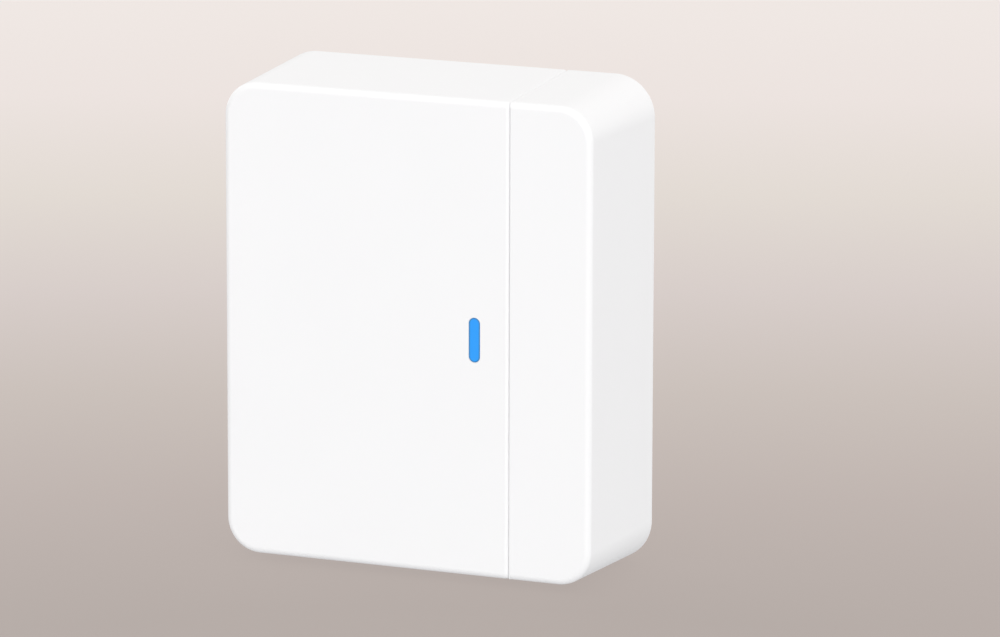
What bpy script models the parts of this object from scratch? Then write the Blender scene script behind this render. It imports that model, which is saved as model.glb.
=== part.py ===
"""Door contact sensor: a battery-powered sensor unit and the magnet unit that closes against it.

Frame: metres, +Z up, the fronts face -Y. The origin is the centre of the adhesive face that sticks
the sensor unit to the door frame, so the wall is the plane Y = 0. Depths are counted from that wall
towards the room, so a point at depth d has y = -d. The magnet unit stands at the +X side.
"""
import math
from typing import NamedTuple

import bmesh
import bpy
from mathutils import Matrix, Vector

MM = 0.001

# The two cases, measured at their back rims. They share a height, a depth and an outline.
CASE_HEIGHT = 46.4 * MM
SENSOR_WIDTH = 29.35 * MM
MAGNET_CASE_WIDTH = 8.63 * MM
COVER_DEPTH = 14.25 * MM
SEAM_GAP = 0.2 * MM
DRAFT = math.radians(2.8)
CORNER_RADIUS = 3.94 * MM
FRONT_FILLET = 0.6 * MM
SEAM_FILLET = 0.3 * MM
CORNER_SEGMENTS = 10
FILLET_SEGMENTS = 4

# Shells, plates and pads.
COVER_WALL = 1.3 * MM
FRONT_WALL = 1.5 * MM
PLATE_THICK = 1.5 * MM
RIM_HEIGHT = 1.5 * MM
RIM_WALL = 0.8 * MM
PAD_THICK = 0.8 * MM
PAD_MARGIN = 2.0 * MM
PAD_CORNER = 1.6 * MM
MAGNET_PAD_MARGIN = 0.5 * MM
MAGNET_PAD_CORNER = 1.0 * MM
FIT_GAP = 0.3 * MM
REST_GAP = 0.2 * MM
OVERCUT = 2.0 * MM

# Clips between cover and base plate, and the notch for the nail that opens them.
CLIP_LENGTH = 3.0 * MM
CLIP_HEIGHT = 0.6 * MM
CLIP_NOSE = 0.2 * MM
CLIP_POCKET = 0.5 * MM
CLIP_SPACING = 24.0 * MM
NOTCH_LENGTH = 3.2 * MM
NOTCH_HEIGHT = 0.8 * MM

# Circuit board and its two screws.
BOARD_THICK = 1.0 * MM
BOARD_GAP = 0.5 * MM
BOARD_CORNER = 2.5 * MM
STANDOFF = 1.7 * MM
SCREW_INSET = 1.9 * MM
SCREW_RADIUS = 0.75 * MM
SCREW_HEAD_RADIUS = 1.4 * MM
SCREW_HEAD_HEIGHT = 0.8 * MM
SCREW_LENGTH = 3.7 * MM
BOSS_RADIUS = 1.7 * MM
RECESS_LENGTH = 1.6 * MM
RECESS_WIDTH = 0.35 * MM
RECESS_DEPTH = 0.4 * MM

# Coin cell, its cradle and contacts.
CELL_RADIUS = 10.0 * MM
CELL_THICK = 3.2 * MM
CELL_CAP_RADIUS = 8.6 * MM
CELL_CAP_HEIGHT = 0.5 * MM
CELL_EDGE = 0.35 * MM
CRADLE_WALL = 1.0 * MM
CRADLE_FLOOR = 0.6 * MM
CRADLE_EDGE = 0.2 * MM
LIP_REACH = 0.8 * MM
LIP_THICK = 0.7 * MM
LIP_WIDTH = 3.6 * MM
LIP_ANGLES = (110, 190, 280)
CONTACT_THICK = 0.25 * MM
CONTACT_WIDTH = 3.0 * MM
CLIP_GATE_ANGLE = 45
CLIP_GATE_WIDTH = 5.0 * MM
POSITIVE_WIDTH = 4.0 * MM
POSITIVE_REACH = 1.6 * MM
POSITIVE_FOOT = 1.4 * MM

# Reed switch, and the height on the case at which it and the magnet face each other.
SWITCH_Z = 8.5 * MM
REED_GLASS_RADIUS = 1.0 * MM
REED_GLASS_WALL = 0.25 * MM
REED_GLASS_LENGTH = 10.0 * MM
REED_WIRE_RADIUS = 0.18 * MM
REED_EDGE = 0.35 * MM
REED_OVERLAP = 1.4 * MM
REED_BLADE_OFFSET = 0.3 * MM
REED_LEAD_REACH = 1.3 * MM
REED_HOLE_RADIUS = 0.45 * MM

# Status light: a pill-shaped light pipe above a small lamp.
LIGHT_WIDTH = 1.1 * MM
LIGHT_HEIGHT = 4.2 * MM
LIGHT_FROM_SEAM = 3.37 * MM
LIGHT_CLEARANCE = 0.1 * MM
LIGHT_FLANGE = 0.7 * MM
LIGHT_FLANGE_THICK = 0.8 * MM
LIGHT_STEM_HEIGHT = 2.4 * MM
LAMP_SIZE = (0.8 * MM, 0.6 * MM, 1.6 * MM)

# Radio module and the other parts on the board.
MODULE_WIDTH = 12.5 * MM
MODULE_HEIGHT = 16.6 * MM
MODULE_THICK = 0.8 * MM
MODULE_EDGE = 0.7 * MM
SHIELD_HEIGHT = 10.4 * MM
SHIELD_THICK = 2.0 * MM
SHIELD_EDGE = 0.8 * MM
ANTENNA_WIRE = 0.15 * MM
ANTENNA_FOLDS = 5
ANTENNA_HEIGHT = 3.4 * MM
SWITCH_BODY = 4.6 * MM
SWITCH_BODY_THICK = 2.4 * MM
SWITCH_DROP = 7.2 * MM
SWITCH_SIDE = 6.6 * MM
BUTTON_RADIUS = 1.3 * MM
BUTTON_LENGTH = 2.3 * MM
BUTTON_PROUD = 1.2 * MM
BUTTON_CLEARANCE = 0.15 * MM
BUTTON_TRAVEL = 0.25 * MM
RESERVOIR_SIZE = (3.5 * MM, 1.9 * MM, 2.8 * MM)
CHIP_SIZE = (0.8 * MM, 0.7 * MM, 1.6 * MM)
CHIP_SPACE = 1.6 * MM
CAPACITOR_COUNT = 3
RESISTOR_COUNT = 3

# Bar magnet, its foam bed and the ribs that hold its ends.
MAGNET_LENGTH = 18.0 * MM
MAGNET_DEPTH = 5.0 * MM
MAGNET_CHAMFER = 0.3 * MM
FOAM_THICK = 0.5 * MM
FOAM_SHORTER = 3.0 * MM
END_RIB_THICK = 1.2 * MM
END_RIB_HEIGHT = 4.6 * MM

# Worked out from the sizes above. A depth is a distance from the wall.
LEAN = math.tan(DRAFT)
RIM_DEPTH = PAD_THICK + REST_GAP
FRONT_DEPTH = RIM_DEPTH + COVER_DEPTH
PLATE_FRONT = RIM_DEPTH + PLATE_THICK
BOSS_FRONT = PLATE_FRONT + STANDOFF
BOARD_BACK = BOSS_FRONT + REST_GAP
BOARD_FRONT = BOARD_BACK + BOARD_THICK
SEAT_DEPTH = BOARD_FRONT + REST_GAP
INNER_FRONT = FRONT_DEPTH - FRONT_WALL
PLATE_INSET = COVER_WALL + FIT_GAP
CLIP_DEPTH = PLATE_FRONT + RIM_HEIGHT / 2
CELL_BACK = SEAT_DEPTH + CRADLE_FLOOR + CONTACT_THICK + REST_GAP
CELL_FRONT = CELL_BACK + CELL_THICK


class Unit(NamedTuple):
    """One case: its flat side next to the other unit, and its drafted side, at the back rim."""

    seam_x: float
    outer_x: float

    @property
    def outward(self):
        return math.copysign(1.0, self.outer_x - self.seam_x)

    def outer_at(self, depth, inset=0.0):
        """X of the drafted side at a depth, moved inwards by inset."""
        return self.outer_x - self.outward * (inset + (depth - RIM_DEPTH) * LEAN)

    def seam_at(self, inset=0.0):
        """X of the flat side, moved inwards by inset."""
        return self.seam_x + self.outward * inset


def half_height(depth, inset=0.0):
    """Half the case's height at a depth, moved inwards by inset."""
    return CASE_HEIGHT / 2 - inset - (depth - RIM_DEPTH) * LEAN


SENSOR = Unit(seam_x=SENSOR_WIDTH / 2, outer_x=-SENSOR_WIDTH / 2)
MAGNET = Unit(
    seam_x=SENSOR_WIDTH / 2 + SEAM_GAP,
    outer_x=SENSOR_WIDTH / 2 + SEAM_GAP + MAGNET_CASE_WIDTH,
)


# --- Scene, collections and materials -----------------------------------------------------------

for old in list(bpy.data.objects):
    bpy.data.objects.remove(old, do_unlink=True)

parts = bpy.data.collections.new("door_contact_sensor")
cutters = bpy.data.collections.new("cutters")
for collection in (parts, cutters):
    bpy.context.scene.collection.children.link(collection)


def material(name, colour, roughness, metallic=0.0):
    """A Principled material with linear colour values."""
    made = bpy.data.materials.new(name)
    made.use_nodes = True
    shader = made.node_tree.nodes["Principled BSDF"]
    shader.inputs["Base Color"].default_value = (*colour, 1.0)
    shader.inputs["Roughness"].default_value = roughness
    shader.inputs["Metallic"].default_value = metallic
    made.diffuse_color = (*colour, 1.0)
    return made


WHITE = (0.90, 0.90, 0.91)
OFF_WHITE = (0.80, 0.80, 0.81)
BLUE = (0.04, 0.36, 0.95)
FOAM_GREY = (0.42, 0.42, 0.43)
BOARD_GREEN = (0.02, 0.16, 0.08)
BLACK = (0.03, 0.03, 0.035)
STEEL = (0.62, 0.62, 0.60)
COPPER = (0.75, 0.40, 0.22)
GLASS_GREEN = (0.45, 0.62, 0.50)
TAN = (0.55, 0.40, 0.24)


# --- Helpers ------------------------------------------------------------------------------------


def finish(name, shape, place, look, collection=parts):
    """Turn a bmesh built about its own origin into an object at a place."""
    mesh = bpy.data.meshes.new(name)
    bmesh.ops.recalc_face_normals(shape, faces=shape.faces)
    shape.to_mesh(mesh)
    shape.free()
    mesh.shade_smooth()
    mesh.set_sharp_from_angle(angle=math.radians(35))
    if look:
        mesh.materials.append(look)
    made = bpy.data.objects.new(name, mesh)
    made.location = place
    collection.objects.link(made)
    if collection is cutters:
        made.hide_render = True
        made.display_type = "WIRE"
    return made


def slab_shape(size, corner=0.0, segments=5):
    """A block centred on the origin whose four edges along Y are rounded by corner."""
    shape = bmesh.new()
    bmesh.ops.create_cube(shape, size=1.0, matrix=Matrix.Diagonal((*size, 1.0)))
    if corner > 0.0:
        along = [e for e in shape.edges if abs(e.verts[0].co.y - e.verts[1].co.y) > size[1] / 2]
        bmesh.ops.bevel(
            shape, geom=along, offset=corner, segments=segments, profile=0.5, affect="EDGES"
        )
    return shape


def disc_shape(radius, length, segments=32):
    """A cylinder along Y centred on the origin."""
    shape = bmesh.new()
    turn = Matrix.Rotation(math.radians(90), 4, "X")
    bmesh.ops.create_cone(
        shape,
        cap_ends=True,
        segments=segments,
        radius1=radius,
        radius2=radius,
        depth=length,
        matrix=turn,
    )
    return shape


def pill_shape(width, height, length, segments=24):
    """A solid along Y with a pill outline: a disc whose two halves are drawn apart along Z."""
    shape = disc_shape(width / 2, length, segments)
    turn = Matrix.Rotation(math.pi / segments, 4, "Y")
    bmesh.ops.transform(shape, matrix=turn, verts=shape.verts)
    for vert in shape.verts:
        vert.co.z += math.copysign((height - width) / 2, vert.co.z)
    return shape


def at_depths(x, near_wall, far, z):
    """The centre of a piece between two depths."""
    return Vector((x, -(near_wall + far) / 2, z))


def slab(name, x, z, width, height, depths, look, corner=0.0, collection=parts):
    """A flat piece facing the room between two depths, given by its X and Z sizes."""
    shape = slab_shape((width, depths[1] - depths[0], height), corner)
    return finish(name, shape, at_depths(x, *depths, z), look, collection)


def disc(name, x, z, radius, depths, look, collection=parts, segments=32):
    """A round piece along Y between two depths."""
    shape = disc_shape(radius, depths[1] - depths[0], segments)
    return finish(name, shape, at_depths(x, *depths, z), look, collection)


def case_block(name, unit, depths, inset, look, collection=parts, fillets=False):
    """The case's outline between two depths, moved inwards by inset.

    The outer side, top and bottom lean by the draft, the two outer corners are round, and the
    side at the seam is flat.
    """
    back, front = depths
    outer = unit.outer_at(front, inset)
    seam = unit.seam_at(inset)
    top = half_height(front, inset)
    radius = max(CORNER_RADIUS - inset - (front - RIM_DEPTH) * LEAN, 0.2 * MM)
    middle = at_depths((outer + seam) / 2, back, front, 0.0)
    shape = slab_shape((abs(outer - seam), front - back, 2 * top))
    bmesh.ops.translate(shape, verts=shape.verts, vec=middle)
    corners = [
        e
        for e in shape.edges
        if all((v.co.x - middle.x) * unit.outward > 0 for v in e.verts)
        and abs(e.verts[0].co.z - e.verts[1].co.z) < top
        and abs(e.verts[0].co.y - e.verts[1].co.y) > (front - back) / 2
    ]
    bmesh.ops.bevel(
        shape,
        geom=corners,
        offset=radius,
        segments=CORNER_SEGMENTS,
        profile=0.5,
        affect="EDGES",
    )
    # The back end is wider by the draft, all the way round the arcs.
    spread = (front - back) * LEAN
    for vert in shape.verts:
        if vert.co.y > middle.y:
            over_x = max((vert.co.x - outer) * unit.outward + radius, 0.0)
            over_z = max(abs(vert.co.z) - top + radius, 0.0)
            vert.co.x += unit.outward * spread * over_x / radius
            vert.co.z += math.copysign(spread * over_z / radius, vert.co.z)
    if fillets:
        mark_fillets(shape, seam, middle.y)
    origin = Vector((middle.x, -back, 0.0))
    bmesh.ops.translate(shape, verts=shape.verts, vec=-origin)
    made = finish(name, shape, origin, look, collection)
    if fillets:
        rounding = made.modifiers.new("edge_fillets", "BEVEL")
        rounding.width = FRONT_FILLET
        rounding.segments = FILLET_SEGMENTS
        rounding.limit_method = "WEIGHT"
        rounding.use_clamp_overlap = False
    return made


def mark_fillets(shape, seam, middle_y):
    """Weight the front edges and the seam's edges, which the Bevel modifier then rounds."""
    weights = shape.edges.layers.float.new("bevel_weight_edge")
    for edge in shape.edges:
        at_front = all(v.co.y < middle_y for v in edge.verts)
        at_back = all(v.co.y > middle_y for v in edge.verts)
        at_seam = all(abs(v.co.x - seam) < 0.01 * MM for v in edge.verts)
        if at_seam and not at_back:
            edge[weights] = SEAM_FILLET / FRONT_FILLET
        elif at_front:
            edge[weights] = 1.0


def combine(target, tool, operation):
    """Cut the tool out of the target, or join it on."""
    step = target.modifiers.new(tool.name, "BOOLEAN")
    step.operation = operation
    step.solver = "EXACT"
    step.object = tool


def cut(target, tool):
    combine(target, tool, "DIFFERENCE")


def join(target, tool):
    combine(target, tool, "UNION")


def turned(name, place, profile, look, segments=40):
    """A piece turned about a Y axis. The profile lists (radius, depth) points, from the wall out.

    A profile that starts and ends at radius 0 is closed by the axis; any other profile is a ring.
    """
    ring = profile[0][0] > 0.0
    shape = bmesh.new()
    verts = [shape.verts.new((radius, -depth, 0.0)) for radius, depth in profile]
    edges = [shape.edges.new(pair) for pair in zip(verts, verts[1:])]
    if ring:
        edges.append(shape.edges.new((verts[-1], verts[0])))
    bmesh.ops.spin(
        shape,
        geom=verts + edges,
        cent=(0.0, 0.0, 0.0),
        axis=(0.0, 1.0, 0.0),
        angle=2 * math.pi,
        steps=segments,
        use_merge=True,
    )
    bmesh.ops.remove_doubles(shape, verts=shape.verts, dist=0.0001 * MM)
    return finish(name, shape, place, look)


def bent_strip(name, path, width, place, angle, look):
    """Sheet metal bent along (outward, depth) points and turned by angle about Y at a place."""
    shape = bmesh.new()
    rows = [
        [shape.verts.new((out, -depth, side * width / 2)) for side in (-1, 1)]
        for out, depth in path
    ]
    for near, far in zip(rows, rows[1:]):
        shape.faces.new((near[0], near[1], far[1], far[0]))
    turn = Matrix.Rotation(-angle, 4, "Y")
    bmesh.ops.transform(shape, matrix=turn, verts=shape.verts)
    made = finish(name, shape, place, look)
    skin = made.modifiers.new("sheet_thickness", "SOLIDIFY")
    skin.thickness = CONTACT_THICK
    skin.offset = 0.0
    skin.use_even_offset = True
    return made


def wire(name, points, radius, look):
    """A round wire along a list of points, with closed ends."""
    curve = bpy.data.curves.new(name, "CURVE")
    curve.dimensions = "3D"
    curve.bevel_depth = radius
    curve.bevel_resolution = 2
    curve.use_fill_caps = True
    line = curve.splines.new("POLY")
    line.points.add(len(points) - 1)
    origin = Vector(points[0])
    for spot, point in zip(line.points, points):
        spot.co = (*(Vector(point) - origin), 1.0)
    curve.materials.append(look)
    made = bpy.data.objects.new(name, curve)
    made.location = origin
    parts.objects.link(made)
    return made


# --- Covers and base plates ---------------------------------------------------------------------


def clip_places(unit):
    """X of the nose's foot and its outward sign, for the outer side and the seam side."""
    outer = unit.outer_at(CLIP_DEPTH, PLATE_INSET)
    return ((outer, unit.outward), (unit.seam_at(PLATE_INSET), -unit.outward))


def cover(name, unit, look):
    """A five-sided shell with pockets for the clips and a notch in its lower back rim."""
    shell = case_block(name, unit, (RIM_DEPTH, FRONT_DEPTH), 0.0, look, fillets=True)
    hollow = (RIM_DEPTH - OVERCUT, INNER_FRONT)
    cut(shell, case_block(name + "_hollow", unit, hollow, COVER_WALL, None, cutters))
    for side, (foot_x, sign) in enumerate(clip_places(unit)):
        wall_x = foot_x + sign * FIT_GAP
        for row, z in enumerate((-CLIP_SPACING / 2, CLIP_SPACING / 2)):
            pocket = slab(
                "%s_pocket_%d%d" % (name, side, row),
                wall_x,
                z,
                2 * CLIP_POCKET,
                CLIP_LENGTH + 2 * FIT_GAP,
                (CLIP_DEPTH - CLIP_HEIGHT / 2 - FIT_GAP, CLIP_DEPTH + CLIP_HEIGHT / 2 + FIT_GAP),
                None,
                collection=cutters,
            )
            cut(shell, pocket)
    notch = slab(
        name + "_notch",
        (unit.seam_x + unit.outer_x) / 2,
        -CASE_HEIGHT / 2,
        NOTCH_LENGTH,
        2 * (COVER_WALL + FIT_GAP / 2),
        (RIM_DEPTH - OVERCUT, RIM_DEPTH + NOTCH_HEIGHT),
        None,
        collection=cutters,
    )
    cut(shell, notch)
    return shell


def base_plate(name, unit, look):
    """A tray that fills the cover's back: a plate, an upstanding rim and four clip noses."""
    depths = (RIM_DEPTH, PLATE_FRONT + RIM_HEIGHT)
    plate = case_block(name, unit, depths, PLATE_INSET, look)
    tray = (PLATE_FRONT, PLATE_FRONT + RIM_HEIGHT + OVERCUT)
    cut(plate, case_block(name + "_tray", unit, tray, PLATE_INSET + RIM_WALL, None, cutters))
    for side, (foot_x, sign) in enumerate(clip_places(unit)):
        for row, z in enumerate((-CLIP_SPACING / 2, CLIP_SPACING / 2)):
            nose = slab(
                "%s_nose_%d%d" % (name, side, row),
                foot_x + sign * (CLIP_NOSE - RIM_WALL / 2) / 2,
                z,
                CLIP_NOSE + RIM_WALL / 2,
                CLIP_LENGTH,
                (CLIP_DEPTH - CLIP_HEIGHT / 2, CLIP_DEPTH + CLIP_HEIGHT / 2),
                None,
                collection=cutters,
            )
            join(plate, nose)
    return plate


def pad(name, unit, margin, corner, look):
    """Double-sided foam tape on the back of a base plate."""
    outer = unit.outer_at(RIM_DEPTH, PLATE_INSET + margin)
    seam = unit.seam_at(PLATE_INSET + margin)
    height = 2 * half_height(RIM_DEPTH, PLATE_INSET + margin)
    centre = (outer + seam) / 2
    return slab(name, centre, 0.0, abs(outer - seam), height, (0.0, PAD_THICK), look, corner)


white_plastic = material("satin_white_plastic", WHITE, 0.38)
inner_plastic = material("off_white_plastic", OFF_WHITE, 0.5)
foam_tape = material("foam_tape", FOAM_GREY, 0.9)

sensor_cover = cover("sensor_cover", SENSOR, white_plastic)
magnet_cover = cover("magnet_cover", MAGNET, white_plastic)
sensor_plate = base_plate("sensor_base_plate", SENSOR, inner_plastic)
magnet_plate = base_plate("magnet_base_plate", MAGNET, inner_plastic)
pad("sensor_adhesive_pad", SENSOR, PAD_MARGIN, PAD_CORNER, foam_tape)
magnet_pad = pad("magnet_adhesive_pad", MAGNET, MAGNET_PAD_MARGIN, MAGNET_PAD_CORNER, foam_tape)


# --- Circuit board and screws -------------------------------------------------------------------

BOARD_INSET = COVER_WALL + BOARD_GAP
board_left = SENSOR.outer_at(BOARD_FRONT, BOARD_INSET)
board_right = SENSOR.seam_at(BOARD_INSET)
board_top = half_height(BOARD_FRONT, BOARD_INSET)
light_x = SENSOR.seam_x - LIGHT_FROM_SEAM
reed_x = board_right - REED_EDGE - REED_GLASS_RADIUS
reed_depth = SEAT_DEPTH + REED_GLASS_RADIUS
lead_reach = REED_GLASS_LENGTH / 2 + REED_LEAD_REACH
screw_places = {
    "upper": (board_right - SCREW_INSET, board_top - SCREW_INSET),
    "lower": (board_left + SCREW_INSET, -board_top + SCREW_INSET),
}


def circuit_board(look):
    """The board, drilled for its screws and for the reed switch's leads."""
    board = slab(
        "circuit_board",
        (board_left + board_right) / 2,
        0.0,
        board_right - board_left,
        2 * board_top,
        (BOARD_BACK, BOARD_FRONT),
        look,
        BOARD_CORNER,
    )
    drill = (BOARD_BACK - OVERCUT, BOARD_FRONT + OVERCUT)
    for end, (x, z) in screw_places.items():
        radius = SCREW_RADIUS + FIT_GAP
        cut(board, disc("board_screw_hole_" + end, x, z, radius, drill, None, cutters, 20))
    for sign in (-1, 1):
        z = SWITCH_Z + sign * lead_reach
        name = "board_lead_hole_%d" % (sign + 1)
        cut(board, disc(name, reed_x, z, REED_HOLE_RADIUS, drill, None, cutters, 12))
    return board


def screw_with_boss(end, x, z, look):
    """A cross-head screw, and the drilled boss on the base plate that it bites into."""
    plate_end = (PLATE_FRONT - PLATE_THICK / 2, BOSS_FRONT)
    join(sensor_plate, disc("boss_" + end, x, z, BOSS_RADIUS, plate_end, None, cutters, 28))
    tip = SEAT_DEPTH - SCREW_LENGTH
    bore = (tip - FIT_GAP, BOSS_FRONT + OVERCUT)
    radius = SCREW_RADIUS + REST_GAP
    cut(sensor_plate, disc("boss_bore_" + end, x, z, radius, bore, None, cutters, 20))
    head = SEAT_DEPTH + SCREW_HEAD_HEIGHT
    edge = SCREW_HEAD_HEIGHT / 4
    profile = (
        (0.0, tip),
        (SCREW_RADIUS / 2, tip),
        (SCREW_RADIUS, tip + SCREW_RADIUS),
        (SCREW_RADIUS, SEAT_DEPTH),
        (SCREW_HEAD_RADIUS, SEAT_DEPTH),
        (SCREW_HEAD_RADIUS, head - edge),
        (SCREW_HEAD_RADIUS - edge, head),
        (0.0, head),
    )
    screw = turned("board_screw_" + end, (x, 0.0, z), profile, look, 24)
    recess = (head - RECESS_DEPTH, head + OVERCUT)
    for way, size in enumerate(((RECESS_LENGTH, RECESS_WIDTH), (RECESS_WIDTH, RECESS_LENGTH))):
        name = "screw_recess_%s_%d" % (end, way)
        cut(screw, slab(name, x, z, *size, recess, None, collection=cutters))
    return screw


green_board = material("green_board", BOARD_GREEN, 0.45)
screw_steel = material("screw_steel", STEEL, 0.35, 1.0)
board = circuit_board(green_board)
for end, (x, z) in screw_places.items():
    screw_with_boss(end, x, z, screw_steel)


# --- Coin cell, cradle and contacts -------------------------------------------------------------

cradle_inner = CELL_RADIUS + FIT_GAP
cradle_outer = cradle_inner + CRADLE_WALL
cell_x = board_left + CRADLE_EDGE + cradle_outer
cell_z = -board_top + CRADLE_EDGE + cradle_outer
lip_back = CELL_FRONT + REST_GAP
cradle_front = lip_back + LIP_THICK


def coin_cell(look):
    """A button cell: a wide can in front and the smaller cap towards the board."""
    cap = CELL_BACK + CELL_CAP_HEIGHT
    profile = (
        (0.0, CELL_BACK),
        (CELL_CAP_RADIUS, CELL_BACK),
        (CELL_CAP_RADIUS, cap),
        (CELL_RADIUS - CELL_EDGE, cap),
        (CELL_RADIUS, cap + CELL_EDGE),
        (CELL_RADIUS, CELL_FRONT - CELL_EDGE),
        (CELL_RADIUS - CELL_EDGE, CELL_FRONT),
        (0.0, CELL_FRONT),
    )
    return turned("coin_cell", (cell_x, 0.0, cell_z), profile, look, 64)


def battery_cradle(look):
    """A round tray with a window in its floor, a gate for the clip, and three lips."""
    floor_front = SEAT_DEPTH + CRADLE_FLOOR
    window = CELL_RADIUS / 2
    profile = (
        (window, SEAT_DEPTH),
        (cradle_outer, SEAT_DEPTH),
        (cradle_outer, cradle_front),
        (cradle_inner, cradle_front),
        (cradle_inner, floor_front),
        (window, floor_front),
    )
    cradle = turned("battery_cradle", (cell_x, 0.0, cell_z), profile, look, 64)
    for degrees in LIP_ANGLES:
        lip = lip_block("cradle_lip_%d" % degrees, math.radians(degrees))
        join(cradle, lip)
    gate = (floor_front, cradle_front + OVERCUT)
    reach = cradle_outer - CRADLE_WALL / 2
    angle = math.radians(CLIP_GATE_ANGLE)
    cut(cradle, radial_block("cradle_gate", angle, reach, 3 * CRADLE_WALL, CLIP_GATE_WIDTH, gate))
    return cradle


def radial_block(name, angle, reach, length, width, depths):
    """A tool block whose middle lies at a reach from the cell's axis, turned to face it."""
    shape = slab_shape((length, depths[1] - depths[0], width))
    turn = Matrix.Rotation(-angle, 4, "Y")
    bmesh.ops.transform(shape, matrix=turn, verts=shape.verts)
    x = cell_x + reach * math.cos(angle)
    z = cell_z + reach * math.sin(angle)
    return finish(name, shape, at_depths(x, *depths, z), None, cutters)


def lip_block(name, angle):
    """A lip that holds the cell's front edge."""
    inner = CELL_RADIUS - LIP_REACH
    outer = cradle_inner + CRADLE_WALL / 2
    middle = (inner + outer) / 2
    return radial_block(name, angle, middle, outer - inner, LIP_WIDTH, (lip_back, cradle_front))


def positive_clip(look):
    """A bent clip: a foot on the board, an upright in the gate and a hook over the cell."""
    half = CONTACT_THICK / 2
    upright = cradle_inner + CRADLE_WALL / 2
    foot = SEAT_DEPTH + CRADLE_FLOOR + REST_GAP + half
    hook = CELL_FRONT + REST_GAP + half
    path = (
        (upright + POSITIVE_FOOT, SEAT_DEPTH + half),
        (cradle_outer + 2 * REST_GAP, SEAT_DEPTH + half),
        (cradle_outer + 2 * REST_GAP, foot),
        (upright, foot),
        (upright, hook),
        (CELL_RADIUS - POSITIVE_REACH, hook),
    )
    angle = math.radians(CLIP_GATE_ANGLE)
    return bent_strip(
        "battery_clip_positive", path, POSITIVE_WIDTH, (cell_x, 0.0, cell_z), angle, look
    )


def negative_contact(look):
    """A leaf in the cradle's window, rising from the board to just behind the cell's cap."""
    half = CONTACT_THICK / 2
    low = SEAT_DEPTH + half
    high = CELL_BACK - REST_GAP - half
    reach = CELL_RADIUS / 2 - 2 * REST_GAP - CONTACT_WIDTH / 4
    path = ((-reach, low), (-reach / 2, low), (0.0, high), (reach, high))
    return bent_strip(
        "battery_contact_negative", path, CONTACT_WIDTH, (cell_x, 0.0, cell_z), 0.0, look
    )


cell_steel = material("cell_steel", STEEL, 0.28, 1.0)
black_plastic = material("black_plastic", BLACK, 0.5)
spring_steel = material("spring_steel", STEEL, 0.3, 1.0)
coin_cell(cell_steel)
cradle = battery_cradle(black_plastic)
positive_clip(spring_steel)
negative_contact(spring_steel)


# --- Reed switch --------------------------------------------------------------------------------


def reed_glass(look):
    """A glass tube along Z, drawn in to a neck at each end where a lead comes out."""
    half = REED_GLASS_LENGTH / 2
    inner = REED_GLASS_RADIUS - REED_GLASS_WALL
    neck = REED_WIRE_RADIUS + REST_GAP
    rise = REED_GLASS_RADIUS - neck
    outside = [(neck, half), (REED_GLASS_RADIUS - rise / 3, half), (REED_GLASS_RADIUS, half - rise)]
    inside = [(inner, half - rise), (neck, half - REED_GLASS_WALL)]
    profile = outside + [(r, -z) for r, z in reversed(outside)]
    profile += [(r, -z) for r, z in reversed(inside)] + inside
    shape = bmesh.new()
    verts = [shape.verts.new((radius, 0.0, z)) for radius, z in profile]
    edges = [shape.edges.new(pair) for pair in zip(verts, verts[1:] + verts[:1])]
    bmesh.ops.spin(
        shape,
        geom=verts + edges,
        cent=(0.0, 0.0, 0.0),
        axis=(0.0, 0.0, 1.0),
        angle=2 * math.pi,
        steps=24,
        use_merge=True,
    )
    return finish("reed_glass", shape, (reed_x, -reed_depth, SWITCH_Z), look)


def reed_blade(name, sign, look):
    """One blade and its lead: past the middle inside the glass, out and down through the board."""
    side = reed_x + sign * REED_BLADE_OFFSET
    bend = REED_GLASS_LENGTH / 2 - 4 * REED_GLASS_RADIUS / 3
    points = [
        (side, -reed_depth, SWITCH_Z - sign * REED_OVERLAP / 2),
        (side, -reed_depth, SWITCH_Z + sign * bend / 2),
        (reed_x, -reed_depth, SWITCH_Z + sign * bend),
    ]
    turn = REED_GLASS_RADIUS / 2
    corner_z = SWITCH_Z + sign * (lead_reach - turn)
    for step in range(5):
        angle = math.radians(90 * step / 4)
        z = corner_z + sign * turn * math.sin(angle)
        points.append((reed_x, -reed_depth + turn * (1 - math.cos(angle)), z))
    points.append((reed_x, -BOARD_BACK + REST_GAP, SWITCH_Z + sign * lead_reach))
    return wire(name, points, REED_WIRE_RADIUS, look)


reed_tube_glass = material("reed_tube_glass", GLASS_GREEN, 0.05)
reed_glass(reed_tube_glass)
for end, sign in (("upper", 1), ("lower", -1)):
    reed_blade("reed_blade_" + end, sign, spring_steel)


# --- Status light -------------------------------------------------------------------------------

lamp_front = SEAT_DEPTH + LAMP_SIZE[1]


def light_pipe(look):
    """A pill flush with the front, a flange behind the wall and a stem down to the lamp."""
    pipe = finish(
        "light_pipe",
        pill_shape(LIGHT_WIDTH, LIGHT_HEIGHT, FRONT_WALL + LIGHT_FLANGE_THICK / 2 + REST_GAP),
        at_depths(light_x, INNER_FRONT - REST_GAP - LIGHT_FLANGE_THICK / 2, FRONT_DEPTH, 0.0),
        look,
    )
    flange_depths = (INNER_FRONT - REST_GAP - LIGHT_FLANGE_THICK, INNER_FRONT - REST_GAP)
    flange_size = (LIGHT_WIDTH + 2 * LIGHT_FLANGE, LIGHT_HEIGHT + 2 * LIGHT_FLANGE)
    flange = pill_shape(*flange_size, LIGHT_FLANGE_THICK)
    flange_place = at_depths(light_x, *flange_depths, 0.0)
    join(pipe, finish("light_flange", flange, flange_place, None, cutters))
    stem_depths = (lamp_front + FIT_GAP, INNER_FRONT - REST_GAP - LIGHT_FLANGE_THICK / 2)
    stem = pill_shape(LIGHT_WIDTH * 0.9, LIGHT_STEM_HEIGHT, stem_depths[1] - stem_depths[0])
    join(pipe, finish("light_stem", stem, at_depths(light_x, *stem_depths, 0.0), None, cutters))
    return pipe


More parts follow.
